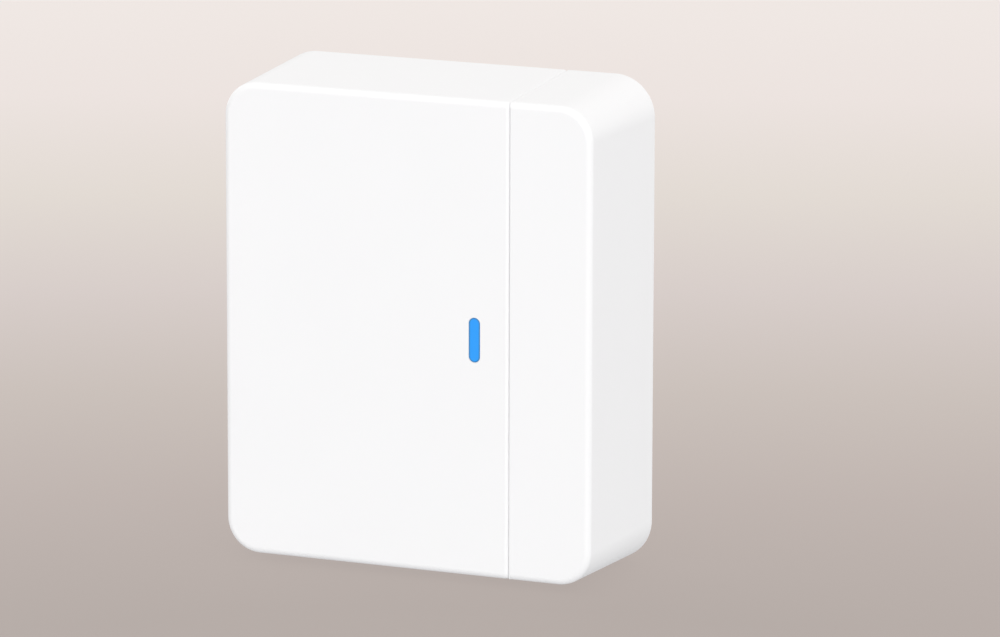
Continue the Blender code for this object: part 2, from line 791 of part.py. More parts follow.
def light_slot():
    """The hole in the sensor's cover for the light pipe."""
    depths = (INNER_FRONT - OVERCUT / 2, FRONT_DEPTH + OVERCUT)
    size = (LIGHT_WIDTH + 2 * LIGHT_CLEARANCE, LIGHT_HEIGHT + 2 * LIGHT_CLEARANCE)
    slot = pill_shape(*size, depths[1] - depths[0])
    cut(sensor_cover, finish("light_slot", slot, at_depths(light_x, *depths, 0.0), None, cutters))


def on_board(name, x, z, size, look, corner=0.0):
    """A part that stands on the board, given by its (X, Y, Z) size."""
    depths = (SEAT_DEPTH, SEAT_DEPTH + size[1])
    return slab(name, x, z, size[0], size[2], depths, look, corner)


blue_light = material("blue_light_pipe", BLUE, 0.25)
lamp_yellow = material("lamp_epoxy", (0.85, 0.75, 0.35), 0.3)
pipe = light_pipe(blue_light)
light_slot()
on_board("led_chip", light_x, 0.0, LAMP_SIZE, lamp_yellow)


# --- Radio module, pairing switch and small parts -----------------------------------------------

module_x = board_left + MODULE_EDGE + MODULE_WIDTH / 2
module_z = board_top - MODULE_EDGE - MODULE_HEIGHT / 2
module_front = SEAT_DEPTH + MODULE_THICK
switch_x = board_right - SWITCH_SIDE
switch_z = board_top - SWITCH_DROP
switch_front = SEAT_DEPTH + SWITCH_BODY_THICK


def radio_module():
    """A small board with a shield can at its lower end and a folded antenna at its upper end."""
    small_board = material("blue_module_board", (0.02, 0.07, 0.22), 0.45)
    can_steel = material("shield_steel", STEEL, 0.25, 1.0)
    trace = material("antenna_copper", COPPER, 0.35, 1.0)
    on_board(
        "radio_module_board",
        module_x,
        module_z,
        (MODULE_WIDTH, MODULE_THICK, MODULE_HEIGHT),
        small_board,
        0.5 * MM,
    )
    can_depths = (module_front + REST_GAP, module_front + REST_GAP + SHIELD_THICK)
    can_z = module_z - MODULE_HEIGHT / 2 + SHIELD_EDGE + SHIELD_HEIGHT / 2
    can_width = MODULE_WIDTH - 2 * SHIELD_EDGE
    slab("shield_can", module_x, can_z, can_width, SHIELD_HEIGHT, can_depths, can_steel, 0.6 * MM)
    low = module_z + MODULE_HEIGHT / 2 - SHIELD_EDGE - ANTENNA_HEIGHT
    depth = module_front + REST_GAP + ANTENNA_WIRE
    step = can_width / (2 * ANTENNA_FOLDS)
    points = [(module_x - can_width / 2, -depth, low)]
    for fold in range(2 * ANTENNA_FOLDS):
        z = low + ANTENNA_HEIGHT * ((fold + 1) % 2)
        x = points[-1][0]
        points.append((x, -depth, z))
        points.append((x + step, -depth, z))
    wire("module_antenna", points, ANTENNA_WIRE, trace)


def pairing_switch():
    """A push switch and its button, which slides BUTTON_TRAVEL towards the wall."""
    body_size = (SWITCH_BODY, SWITCH_BODY_THICK, SWITCH_BODY)
    body = on_board("pairing_switch_body", switch_x, switch_z, body_size, black_plastic, 0.4 * MM)
    button_front = switch_front + BUTTON_PROUD
    button_back = button_front - BUTTON_LENGTH
    well = (button_back - BUTTON_TRAVEL - FIT_GAP, switch_front + OVERCUT)
    radius = BUTTON_RADIUS + BUTTON_CLEARANCE
    cut(body, disc("button_well", switch_x, switch_z, radius, well, None, cutters))
    edge = BUTTON_RADIUS / 6
    profile = (
        (0.0, button_back),
        (BUTTON_RADIUS, button_back),
        (BUTTON_RADIUS, button_front - edge),
        (BUTTON_RADIUS - edge, button_front),
        (0.0, button_front),
    )
    grey = material("button_grey", (0.30, 0.30, 0.32), 0.4)
    return turned("pairing_button", (switch_x, 0.0, switch_z), profile, grey, 28)


def small_parts():
    """The reservoir capacitor, and rows of chip capacitors and resistors."""
    tantalum = material("tantalum_case", (0.75, 0.45, 0.10), 0.45)
    ceramic = material("chip_ceramic", TAN, 0.5)
    resistor_body = material("chip_resistor", BLACK, 0.35)
    row_start = module_x + MODULE_WIDTH / 2
    row_end = reed_x - REED_GLASS_RADIUS - CHIP_SPACE / 2
    pitch = (row_end - row_start) / (CAPACITOR_COUNT + RESISTOR_COUNT + 0.5)
    reservoir_x = row_start + pitch / 2 + RESERVOIR_SIZE[0] / 2
    low_row = module_z - MODULE_HEIGHT / 2 + RESERVOIR_SIZE[2] / 2
    on_board("reservoir_capacitor", reservoir_x, low_row, RESERVOIR_SIZE, tantalum)
    high_row = low_row + RESERVOIR_SIZE[2] / 2 + CHIP_SPACE
    for number in range(CAPACITOR_COUNT):
        x = row_start + (number + 0.75) * pitch
        on_board("chip_capacitor_%d" % (number + 1), x, high_row, CHIP_SIZE, ceramic)
    for number in range(RESISTOR_COUNT):
        x = row_start + (CAPACITOR_COUNT + number + 0.75) * pitch
        on_board("chip_resistor_%d" % (number + 1), x, high_row, CHIP_SIZE, resistor_body)


radio_module()
button = pairing_switch()
small_parts()


# --- Magnet and its bed -------------------------------------------------------------------------

tray_outer = MAGNET.outer_at(PLATE_FRONT + RIM_HEIGHT, PLATE_INSET + RIM_WALL)
tray_seam = MAGNET.seam_at(PLATE_INSET + RIM_WALL)
magnet_x = (tray_outer + tray_seam) / 2
magnet_width = abs(tray_outer - tray_seam) - 2 * REST_GAP
foam_depths = (PLATE_FRONT + REST_GAP, PLATE_FRONT + REST_GAP + FOAM_THICK)
magnet_depths = (foam_depths[1] + REST_GAP, foam_depths[1] + REST_GAP + MAGNET_DEPTH)


def bar_magnet(look):
    """A block magnet along Z with chamfered edges."""
    shape = slab_shape((magnet_width, MAGNET_DEPTH, MAGNET_LENGTH))
    bmesh.ops.bevel(
        shape, geom=shape.edges, offset=MAGNET_CHAMFER, segments=1, profile=0.5, affect="EDGES"
    )
    return finish("bar_magnet", shape, at_depths(magnet_x, *magnet_depths, SWITCH_Z), look)


def end_ribs():
    """Two ribs on the magnet's base plate, one at each end of the magnet."""
    reach = MAGNET_LENGTH / 2 + REST_GAP + END_RIB_THICK / 2
    depths = (PLATE_FRONT - PLATE_THICK / 2, PLATE_FRONT + END_RIB_HEIGHT)
    for end, sign in (("upper", 1), ("lower", -1)):
        z = SWITCH_Z + sign * reach
        name = "magnet_rib_" + end
        rib = slab(name, magnet_x, z, magnet_width, END_RIB_THICK, depths, None, collection=cutters)
        join(magnet_plate, rib)


nickel = material("magnet_nickel", (0.66, 0.65, 0.62), 0.25, 1.0)
bed_foam = material("bed_foam", (0.10, 0.10, 0.11), 0.95)
magnet = bar_magnet(nickel)
foam = slab(
    "magnet_foam_bed",
    magnet_x,
    SWITCH_Z,
    magnet_width,
    MAGNET_LENGTH - FOAM_SHORTER,
    foam_depths,
    bed_foam,
)
end_ribs()


# --- Moving pieces hang on empties at their joints ----------------------------------------------


def ride(name, place, riders, carrier=None):
    """An empty at a joint, with the pieces that move with it."""
    axis = bpy.data.objects.new(name, None)
    axis.empty_display_size = 5 * MM
    axis.location = Vector(place) - (carrier.location if carrier else Vector())
    axis.parent = carrier
    parts.objects.link(axis)
    for rider in riders:
        rider.parent = axis
        rider.location = rider.location - Vector(place)
    return axis


sensor_centre = (0.0, -RIM_DEPTH, 0.0)
magnet_centre = ((MAGNET.seam_x + MAGNET.outer_x) / 2, -RIM_DEPTH, 0.0)
ride("cover_release_axis", sensor_centre, (sensor_cover, pipe))
magnet_axis = ride("magnet_slide_axis", magnet_centre, (magnet_plate, magnet_pad, magnet, foam))
ride("magnet_cover_release_axis", magnet_centre, (magnet_cover,), magnet_axis)
ride("pairing_press_axis", (switch_x, 0.0, switch_z), (button,))
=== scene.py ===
"""Looks of the door contact sensor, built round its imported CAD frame.

Frame: metres, +Z up, fronts face -Y, the wall is the plane Y = 0. The sensor unit stands at -X and
the magnet unit at +X. Sections follow the object as it is put together, outside first.
"""
import math

import bmesh
import bpy
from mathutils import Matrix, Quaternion, Vector


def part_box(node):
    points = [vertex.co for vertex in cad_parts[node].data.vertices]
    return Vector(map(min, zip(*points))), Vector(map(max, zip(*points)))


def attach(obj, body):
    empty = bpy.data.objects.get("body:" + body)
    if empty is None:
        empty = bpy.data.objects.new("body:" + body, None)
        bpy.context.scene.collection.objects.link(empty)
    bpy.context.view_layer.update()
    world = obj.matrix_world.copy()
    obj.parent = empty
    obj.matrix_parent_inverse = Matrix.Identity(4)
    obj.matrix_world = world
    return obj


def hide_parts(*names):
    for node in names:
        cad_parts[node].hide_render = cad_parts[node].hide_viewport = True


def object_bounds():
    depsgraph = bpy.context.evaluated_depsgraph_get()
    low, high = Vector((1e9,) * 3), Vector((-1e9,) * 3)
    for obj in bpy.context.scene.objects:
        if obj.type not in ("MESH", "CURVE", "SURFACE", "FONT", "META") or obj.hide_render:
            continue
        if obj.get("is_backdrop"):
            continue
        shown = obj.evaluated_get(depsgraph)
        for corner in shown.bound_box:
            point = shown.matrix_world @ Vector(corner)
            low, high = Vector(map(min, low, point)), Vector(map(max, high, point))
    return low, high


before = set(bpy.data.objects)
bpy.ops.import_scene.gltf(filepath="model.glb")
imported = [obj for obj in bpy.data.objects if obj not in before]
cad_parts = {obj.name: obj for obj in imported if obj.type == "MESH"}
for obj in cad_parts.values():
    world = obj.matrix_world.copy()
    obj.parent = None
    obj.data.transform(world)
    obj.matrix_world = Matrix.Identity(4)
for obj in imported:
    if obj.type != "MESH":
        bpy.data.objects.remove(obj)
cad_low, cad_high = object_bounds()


# --- Camera ---------------------------------------------------------------------------------------
# A long lens a little to the right of the object and above it, so that the front, the top and the
# magnet unit's side all show. The object stands left of the middle of the picture.

MM = 0.001
CAMERA_AZIMUTH = math.radians(22.31)
CAMERA_ELEVATION = math.radians(12.40)
CAMERA_ROLL = math.radians(0.15)
CAMERA_AWAY = 608.5 * MM


def direction(azimuth, elevation):
    """The way from the object to a place round it. Azimuth 0 is in front, and 90 degrees at +X."""
    level = math.cos(elevation)
    return Vector((math.sin(azimuth) * level, -math.cos(azimuth) * level, math.sin(elevation)))


middle = (cad_low + cad_high) / 2
aim = middle + Vector((6.16 * MM, 0.37 * MM, 0.37 * MM))
towards_camera = direction(CAMERA_AZIMUTH, CAMERA_ELEVATION)
bpy.ops.object.camera_add(location=aim + towards_camera * CAMERA_AWAY)
camera = bpy.context.object
camera.name = "studio_camera"
camera.rotation_mode = "QUATERNION"
looking = (-towards_camera).to_track_quat("-Z", "Y")
camera.rotation_quaternion = looking @ Quaternion((0, 0, 1), CAMERA_ROLL)
camera.data.sensor_width = 36.0
camera.data.lens = 234.7
camera.data.clip_start = 0.01
camera.data.clip_end = 50.0
bpy.context.scene.camera = camera


# --- Studio: floor, room light and softboxes ------------------------------------------------------
# A plain pale paper floor with a painted pool of shade, darker near the object, which the camera
# sees mostly as the floor's glow. It throws the same soft light up on every side, the room is evenly
# bright, and four softboxes add to it, the strongest in front to the right.

# The floor's painted pool of shade: its tones, each with its distance from the object in millimetres.
PAINTED_SHADE_POOL = (
    (12, "#B6ACA7"),
    (55, "#C0B5B0"),
    (100, "#CBC1BB"),
    (150, "#D8CECA"),
    (205, "#E3DBD4"),
    (270, "#EDE4E0"),
    (335, "#F0E8E4"),
)
POOL_CENTRE = (11.4 * MM, -27.8 * MM, 0.0)
POOL_FRONT_SHARE = 0.06
POOL_SIDE_SHARE = 0.35
# The share of the painted tones that the floor shows to the camera as its own glow.
PAINTED_FLOOR_GLOW = 0.85
SHEET_GREY = 0.12
BOUNCED_LIGHT = (0.542, 0.547, 0.554, 1.0)
FLOOR_SIZE = 6.0
ROOM_COLOUR = "#FEFDFC"
ROOM_LIGHT = 0.914
SOFTBOX_AWAY = 3.0
SOFTBOX_SIZE = 2.0


def linear(code, share=1.0):
    """A linear RGBA colour from an sRGB hex code such as #F2F2F3, or a share of its light."""
    channels = [int(code[place : place + 2], 16) / 255 for place in (1, 3, 5)]
    curve = [c / 12.92 if c <= 0.04045 else ((c + 0.055) / 1.055) ** 2.4 for c in channels]
    return (*(share * c for c in curve), 1.0)


def feed(node, values):
    """Give a node's sockets their values, or a link where a value is another node's output."""
    for socket, value in values.items():
        if isinstance(value, bpy.types.NodeSocket):
            node.id_data.links.new(value, node.inputs[socket])
        else:
            node.inputs[socket].default_value = value


def add_node(tree, kind, values, **settings):
    """Add one shader node with its settings and its sockets' values, and return its outputs."""
    made = tree.nodes.new("ShaderNode" + kind)
    for key, value in settings.items():
        setattr(made, key, value)
    feed(made, values)
    return made.outputs


def maths(tree, operation, *values):
    """One step of arithmetic on sockets and numbers."""
    return add_node(tree, "Math", dict(enumerate(values)), operation=operation)["Value"]


def new_material(name):
    """An empty node material, with its tree, its Principled shader and its coordinates."""
    made = bpy.data.materials.new(name)
    made.use_nodes = True
    tree = made.node_tree
    return made, tree, tree.nodes["Principled BSDF"], add_node(tree, "TexCoord", {})


def colour_ramp(tree, factor, *stops):
    """A ramp through (position, linear colour) stops."""
    made = add_node(tree, "ValToRGB", {"Fac": factor})["Color"]
    elements = made.node.color_ramp.elements
    for number, (position, colour) in enumerate(stops):
        stop = elements[number] if number < 2 else elements.new(position)
        stop.position = position
        stop.color = colour
    return made


paper, tree, shader, place = new_material("studio_floor_painted_shade")
centred = add_node(
    tree,
    "Mapping",
    {"Vector": place["Object"], "Location": POOL_CENTRE, "Rotation": (0.0, 0.0, CAMERA_AZIMUTH)},
    vector_type="TEXTURE",
)["Vector"]
away = add_node(tree, "SeparateXYZ", {"Vector": centred})
behind = maths(tree, "MAXIMUM", away["Y"], 0.0)
before = maths(tree, "MINIMUM", away["Y"], 0.0)
depth = maths(tree, "MULTIPLY_ADD", before, POOL_FRONT_SHARE, behind)
aside = maths(tree, "MULTIPLY", away["X"], POOL_SIDE_SHARE)
egg = add_node(tree, "CombineXYZ", {"X": aside, "Y": depth})["Vector"]
apart = add_node(tree, "VectorMath", {0: egg}, operation="LENGTH")["Value"]
pool_reach = PAINTED_SHADE_POOL[-1][0]
reach = add_node(tree, "MapRange", {"Value": apart, "From Max": pool_reach * MM})["Result"]
stops = [(radius / pool_reach, linear(colour)) for radius, colour in PAINTED_SHADE_POOL]
# Painted shade: the floor is darker near the object and lighter far from it.
shade = colour_ramp(tree, reach, *stops)
sheet = add_node(tree, "VectorMath", {0: shade, "Scale": SHEET_GREY}, operation="SCALE")["Vector"]
bright = add_node(tree, "VectorMath", {0: shade, "Scale": PAINTED_FLOOR_GLOW}, operation="SCALE")["Vector"]
# The camera sees the painted shade pool as glow, and other rays get the even bounced light.
seen = add_node(tree, "LightPath", {})["Is Camera Ray"]
lit = add_node(tree, "MixRGB", {"Fac": seen, "Color1": BOUNCED_LIGHT, "Color2": bright})["Color"]
feed(shader, {"Base Color": sheet, "Roughness": 0.9, "Specular IOR Level": 0.1})
feed(shader, {"Emission Color": lit, "Emission Strength": 1.0})

bpy.ops.mesh.primitive_plane_add(size=FLOOR_SIZE, location=(middle.x, middle.y, cad_low.z))
floor = bpy.context.object
floor.name = "studio_floor"
floor.data.materials.append(paper)
floor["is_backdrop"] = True

world = bpy.data.worlds.new("studio_room")
bpy.context.scene.world = world
world.use_nodes = True
room = world.node_tree.nodes["Background"]
feed(room, {"Color": linear(ROOM_COLOUR), "Strength": ROOM_LIGHT})
bpy.context.scene.view_settings.view_transform = "Standard"
bpy.context.scene.view_settings.look = "None"


def softbox(name, azimuth, elevation, power):
    """A square white area lamp that faces the object."""
    way = direction(math.radians(azimuth), math.radians(elevation))
    bpy.ops.object.light_add(type="AREA", location=middle + way * SOFTBOX_AWAY)
    lamp = bpy.context.object
    lamp.name = name
    lamp.rotation_mode = "QUATERNION"
    lamp.rotation_quaternion = (-way).to_track_quat("-Z", "Y")
    lamp.data.shape = "SQUARE"
    lamp.data.size = SOFTBOX_SIZE
    lamp.data.energy = power


softbox("key_softbox", 40.0, 14.0, 36.0)
softbox("front_softbox", 0.0, 5.0, 8.6)
softbox("left_softbox", -40.0, 10.0, 2.0)
softbox("back_softbox", 245.0, 15.0, 11.5)


# --- Covers ---------------------------------------------------------------------------------------
# Two five-sided shells moulded in white ABS with a fine satin surface. Their outer sides lean by
# the mould's draft and the sides at the seam stand straight, so that the two close face to face.
# Inside are the stiffening ribs and the round marks of the ejector pins.

TOUCH = 0.001 * MM
OVERCUT = 1.0 * MM
LEAN = math.tan(math.radians(2.8))
CORNER_RADIUS = 3.94 * MM
FRONT_FILLET = 0.6 * MM
SENSOR_SEAM_FILLET = 0.45 * MM
MAGNET_SEAM_FILLET = 0.1 * MM
SEAM_CLOSING = 0.097 * MM
COVER_WALL = 1.3 * MM
FRONT_WALL = 1.5 * MM
CLIP_LENGTH = 3.0 * MM
CLIP_HEIGHT = 0.6 * MM
CLIP_BACK = 2.25 * MM
CLIP_ROWS = (-12.0 * MM, 12.0 * MM)
CLIP_SLACK = 0.3 * MM
CLIP_POCKET = 0.5 * MM
NOTCH_LENGTH = 3.2 * MM
NOTCH_HEIGHT = 0.8 * MM
RIB_THICK = 0.8 * MM
RIB_HEIGHT = 0.6 * MM
RIB_ROOT = 0.3 * MM
PIN_MARK_RADIUS = 1.4 * MM
PIN_MARK_DEPTH = 0.07 * MM
CLOUD_SIZE = 9.0 * MM


def deselect():
    """Leave nothing selected, and be in object mode."""
    if bpy.context.object and bpy.context.object.mode != "OBJECT":
        bpy.ops.object.mode_set(mode="OBJECT")
    bpy.ops.object.select_all(action="DESELECT")


def choose(piece):
    """Select one piece and make it active."""
    deselect()
    piece.select_set(True)
    bpy.context.view_layer.objects.active = piece


def settle(piece):
    """Put a piece's place, turn and size into its mesh."""
    choose(piece)
    bpy.ops.object.transform_apply(location=True, rotation=True, scale=True)
    return piece


def turned_block(name, centre, size, angle=0.0):
    """A block about its centre, turned about an axis along Y."""
    deselect()
    bpy.ops.mesh.primitive_cube_add(size=1.0, location=centre, rotation=(0.0, angle, 0.0))
    made = bpy.context.object
    made.name = name
    made.scale = size
    return settle(made)


def block(name, low, high):
    """A block between two opposite corners, given in any order."""
    ends = [sorted(pair) for pair in zip(low, high)]
    low, high = (Vector([end[place] for end in ends]) for place in (0, 1))
    return turned_block(name, (low + high) / 2, high - low)


def slab(name, box, front, back, in_x=0.0, in_z=0.0):
    """A block with a box's outline, moved inwards across and up, between two depths."""
    low, high = box
    return block(name, (low.x + in_x, front, low.z + in_z), (high.x - in_x, back, high.z - in_z))


def drum(name, centre, radius, length, sides=48, axis="Y", tip=None):
    """A cylinder, or a cone with another radius at its tip, along an axis about its centre."""
    deselect()
    turns = {"Y": (math.pi / 2, 0, 0), "Z": (0, 0, 0)}
    bpy.ops.mesh.primitive_cone_add(
        vertices=sides,
        radius1=radius,
        radius2=radius if tip is None else tip,
        depth=length,
        location=centre,
        rotation=turns[axis],
    )
    made = bpy.context.object
    made.name = name
    return settle(made)


def disc(name, x, z, front, back, radius, sides=48, tip=None):
    """A cylinder along Y between two depths, or a cone with its tip in front."""
    return drum(name, (x, (front + back) / 2, z), radius, back - front, sides, tip=tip)


def pick(piece, kind, test):
    """Go into edit mode with only the vertices, edges or faces that pass the test selected."""
    choose(piece)
    bpy.ops.object.mode_set(mode="EDIT")
    bpy.ops.mesh.select_mode(type=kind)
    bpy.ops.mesh.select_all(action="DESELECT")
    shape = bmesh.from_edit_mesh(piece.data)
    found = {"VERT": shape.verts, "EDGE": shape.edges, "FACE": shape.faces}[kind]
    for part in found:
        part.select_set(bool(test(part)))
    shape.select_flush_mode()
    bmesh.update_edit_mesh(piece.data)


def leave():
    """Go back to object mode."""
    bpy.ops.object.mode_set(mode="OBJECT")


def along(edge, axis):
    """Whether an edge runs along X, Y or Z."""
    way = (edge.verts[0].co - edge.verts[1].co).normalized()
    return abs(way["XYZ".index(axis)]) > 0.99


def round_edges(piece, radius, segments, test=lambda edge: True):
    """Bevel the edges that pass the test."""
    pick(piece, "EDGE", test)
    bpy.ops.mesh.bevel(offset=radius, segments=segments, profile=0.5, affect="EDGES")
    leave()


def round_corners(piece, radius, segments):
    """Bevel the edges that run along Y."""
    round_edges(piece, radius, segments, lambda e: along(e, "Y"))


def round_front(piece, radius, segments):
    """Bevel the edges in a piece's foremost plane."""
    front = min(v.co.y for v in piece.data.vertices) + TOUCH
    round_edges(piece, radius, segments, lambda e: all(v.co.y < front for v in e.verts))


def round_back(piece, radius, segments):
    """Bevel the edges in a piece's rearmost plane."""
    back = max(v.co.y for v in piece.data.vertices) - TOUCH
    round_edges(piece, radius, segments, lambda e: all(v.co.y > back for v in e.verts))


def inset_front(piece, *steps, least=0.0):
    """Inset a piece's front faces above a least area, in steps of a width and a rise."""
    pick(piece, "FACE", lambda f: f.normal.y < -0.9 and f.calc_area() > least)
    for width, rise in steps:
        bpy.ops.mesh.inset(thickness=width, depth=rise)
    leave()


def move_points(piece, by, test):
    """Move the vertices that pass the test."""
    pick(piece, "VERT", test)
    bpy.ops.transform.translate(value=by)
    leave()


def scale_points(piece, by, about, test):
    """Scale the vertices that pass the test about a place."""
    pick(piece, "VERT", test)
    bpy.ops.transform.resize(value=by, center_override=about)
    leave()


def combine(piece, tool, operation):
    """Apply a boolean with a tool to a piece, and use the tool up."""
    choose(piece)
    step = piece.modifiers.new("shape", "BOOLEAN")
    step.operation = operation
    step.solver = "EXACT"
    step.object = tool
    bpy.ops.object.modifier_apply(modifier=step.name)
    bpy.data.objects.remove(tool)


def cut(piece, tool):
    """Cut a tool out of a piece."""
    combine(piece, tool, "DIFFERENCE")


def unite(piece, tool):
    """Join a tool on to a piece."""
    combine(piece, tool, "UNION")


def merge(name, pieces):
    """Gather pieces into one object."""
    deselect()
    for piece in pieces:
        piece.select_set(True)
    bpy.context.view_layer.objects.active = pieces[0]
    bpy.ops.object.join()
    bpy.context.object.name = name
    return bpy.context.object


def hand_over(piece, look, body, slot, *nodes):
    """Give a finished piece its look and its body, and hide the CAD nodes it replaces. slot is not
    used.
    """
    choose(piece)
    piece.data.materials.clear()
    piece.data.materials.append(look)
    bpy.ops.object.shade_smooth_by_angle(angle=math.radians(32.0))
    step = piece.modifiers.new("flat_faces", "WEIGHTED_NORMAL")
    step.keep_sharp = True
    bpy.ops.object.modifier_apply(modifier=step.name)
    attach(piece, body)
    if nodes:
        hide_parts(*nodes)


def noise(tree, place, size, detail=2.0, roughness=0.5):
    """A noise with features of a real size."""
    values = {"Vector": place, "Scale": 1.0 / size, "Detail": detail, "Roughness": roughness}
    return add_node(tree, "TexNoise", values)["Fac"]


def spread(tree, value, low, high):
    """A value from 0 to 1 spread over another range."""
    return add_node(tree, "MapRange", {"Value": value, "To Min": low, "To Max": high})["Result"]


def relief(tree, height, strength, distance):
    """A bump of a real depth."""
    values = {"Height": height, "Strength": strength, "Distance": distance}
    return add_node(tree, "Bump", values)["Normal"]


def two_tone(tree, factor, colour, darkest):
    """A ramp from a share of a colour's light to the colour itself."""
    return colour_ramp(tree, factor, (0.0, linear(colour, darkest)), (1.0, linear(colour)))


def moulded_plastic(name, colour, roughness, grain_mm, grain_depth_mm):
    """Moulded ABS: an even colour under a fine spark-eroded grain that softens the highlights."""
    made, tree, shader, place = new_material(name)
    grain = noise(tree, place["Object"], grain_mm * MM, 3.0, 0.6)
    cloud = noise(tree, place["Object"], CLOUD_SIZE)
    feed(shader, {"Base Color": two_tone(tree, cloud, colour, 0.985), "IOR": 1.53})
    feed(shader, {"Roughness": spread(tree, grain, roughness - 0.04, roughness + 0.05)})
    feed(shader, {"Normal": relief(tree, grain, 0.25, grain_depth_mm * MM)})
    return made


def centre(box):
    """X and Z of the middle of a box."""
    return (box[0].x + box[1].x) / 2, (box[0].z + box[1].z) / 2


def sides(box, outward, inset, back):
    """X of the outer side and of the side at the seam, moved inwards, back from the rim."""
    outer = box[1].x if outward > 0 else box[0].x
    seam = box[0].x if outward > 0 else box[1].x
    return outer - outward * (inset + back * LEAN), seam + outward * inset


def case_block(name, box, outward, inset, back, front, closing=0.0):
    """The case's outline between two depths behind its front, moved inwards by inset.

    back and front are distances from the case's back rim. outward is -1 or 1, the X direction of
    the drafted side. closing moves the side at the seam outwards.
    """
    rim = box[1].y
    outer, seam = sides(box, outward, inset, front)
    seam -= outward * closing
    top = box[1].z - inset - front * LEAN
    radius = CORNER_RADIUS - inset - front * LEAN
    made = block(name, (outer, rim - front, -top), (seam, rim - back, top))
    halfway = (outer + seam) / 2
    round_edges(made, radius, 24, lambda e: along(e, "Y") and (e.verts[0].co.x - halfway) * outward > 0)
    widening = (front - back) * LEAN
    for vert in made.data.vertices:
        if vert.co.y > rim - (front + back) / 2:
            over_x = max((vert.co.x - outer) * outward + radius, 0.0) / radius
            over_z = max(abs(vert.co.z) - top + radius, 0.0) / radius
            vert.co.x += outward * widening * over_x
            vert.co.z += math.copysign(widening * over_z, vert.co.z)
    return made


def fillet_front(piece, seam_x, front_y, seam_fillet):
    """Round the front edge by FRONT_FILLET and the edges at the seam by seam_fillet."""
    weights = piece.data.attributes.new("bevel_weight_edge", "FLOAT", "EDGE")
    points = piece.data.vertices
    back_y = max(v.co.y for v in points)
    for edge in piece.data.edges:
        ends = [points[number].co for number in edge.vertices]
        at_front = all(end.y < front_y + 10 * TOUCH for end in ends)
        at_back = all(end.y > back_y - 10 * TOUCH for end in ends)
        at_seam = all(abs(end.x - seam_x) < 10 * TOUCH for end in ends)
        if at_seam and not at_back:
            weights.data[edge.index].value = seam_fillet / FRONT_FILLET
        elif at_front:
            weights.data[edge.index].value = 1.0
    choose(piece)
    step = piece.modifiers.new("fillets", "BEVEL")
    step.width = FRONT_FILLET
    step.segments = 8
    step.limit_method = "WEIGHT"
    step.use_clamp_overlap = False
    bpy.ops.object.modifier_apply(modifier=step.name)


def cover(node, outward, seam_fillet, pin_marks):
    """A filleted shell with clip pockets, a pry notch, stiffening ribs and ejector-pin marks."""
    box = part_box(node)
    rim, front = box[1].y, box[0].y
    depth = rim - front
    inner_front = front + FRONT_WALL
    shell = case_block(node + "_shell", box, outward, 0.0, 0.0, depth, SEAM_CLOSING)
    seam_x = sides(box, outward, -SEAM_CLOSING, 0.0)[1]
    fillet_front(shell, seam_x, front, seam_fillet)
    cut(shell, case_block("hollow", box, outward, COVER_WALL, -OVERCUT, depth - FRONT_WALL))

    pocket_back = rim - CLIP_BACK
    pocket_front = pocket_back - CLIP_HEIGHT - 2 * CLIP_SLACK
    reach = CLIP_LENGTH / 2 + CLIP_SLACK
    for x in sides(box, outward, COVER_WALL, CLIP_BACK):
        for z in CLIP_ROWS:
            low = (x - CLIP_POCKET, pocket_front, z - reach)
            cut(shell, block("pocket", low, (x + CLIP_POCKET, pocket_back, z + reach)))

    middle_x = centre(box)[0]
    low = (middle_x - NOTCH_LENGTH / 2, rim - NOTCH_HEIGHT, box[0].z - OVERCUT)
    high = (middle_x + NOTCH_LENGTH / 2, rim + OVERCUT, box[0].z + COVER_WALL + OVERCUT / 2)
    cut(shell, block("notch", low, high))

    left, right = sides(box, outward, COVER_WALL - RIB_ROOT, depth - FRONT_WALL)
    top = box[1].z - COVER_WALL + RIB_ROOT - (depth - FRONT_WALL) * LEAN
    half = RIB_THICK / 2
    spans = [((left, z - half), (right, z + half)) for z in CLIP_ROWS]
    for low, high in [*spans, ((middle_x - half, -top), (middle_x + half, top))]:
        back = inner_front + RIB_HEIGHT
        rib = block("rib", (low[0], inner_front - RIB_ROOT, low[1]), (high[0], back, high[1]))
        unite(shell, rib)
    for x, z in pin_marks:
        at = (x * MM, inner_front, z * MM)
        cut(shell, drum("pin_mark", at, PIN_MARK_RADIUS, 2 * PIN_MARK_DEPTH))
    return shell, box


def pill(name, centre_x, width, height, back, front):
    """A solid along Y with a pill outline: a drum whose upper and lower halves are drawn apart."""
    made = drum(name, (0, 0, 0), width / 2, back - front)
    for sign in (-1, 1):
        by = (0, 0, sign * (height - width) / 2)
        move_points(made, by, lambda v: v.co.z * sign > TOUCH)
    made.location = (centre_x, (back + front) / 2, 0)
    return settle(made)


white_abs = moulded_plastic("white_satin_abs", "#F4F4F5", 0.36, 0.25, 0.004)
light_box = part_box("light_pipe")
light_x = centre(light_box)[0]
LIGHT_WIDTH = 1.1 * MM
LIGHT_HEIGHT = 4.2 * MM
LIGHT_LINE = 0.02 * MM

sensor_shell, sensor_box = cover(
    "sensor_cover", -1, SENSOR_SEAM_FILLET, ((-8, 17), (8, 17), (-8, -17), (8, -17), (-8, 0))
)
sensor_inner_front = sensor_box[0].y + FRONT_WALL
slot_size = (LIGHT_WIDTH + 2 * LIGHT_LINE, LIGHT_HEIGHT + 2 * LIGHT_LINE)
slot = pill("slot", light_x, *slot_size, sensor_inner_front + OVERCUT, sensor_box[0].y - OVERCUT)
cut(sensor_shell, slot)
hand_over(sensor_shell, white_abs, "sensor_cover", "white_plastic", "sensor_cover")

magnet_shell, magnet_box = cover("magnet_cover", 1, MAGNET_SEAM_FILLET, ((21, 17), (21, -17)))
hand_over(magnet_shell, white_abs, "magnet_cover", "white_plastic", "magnet_cover")
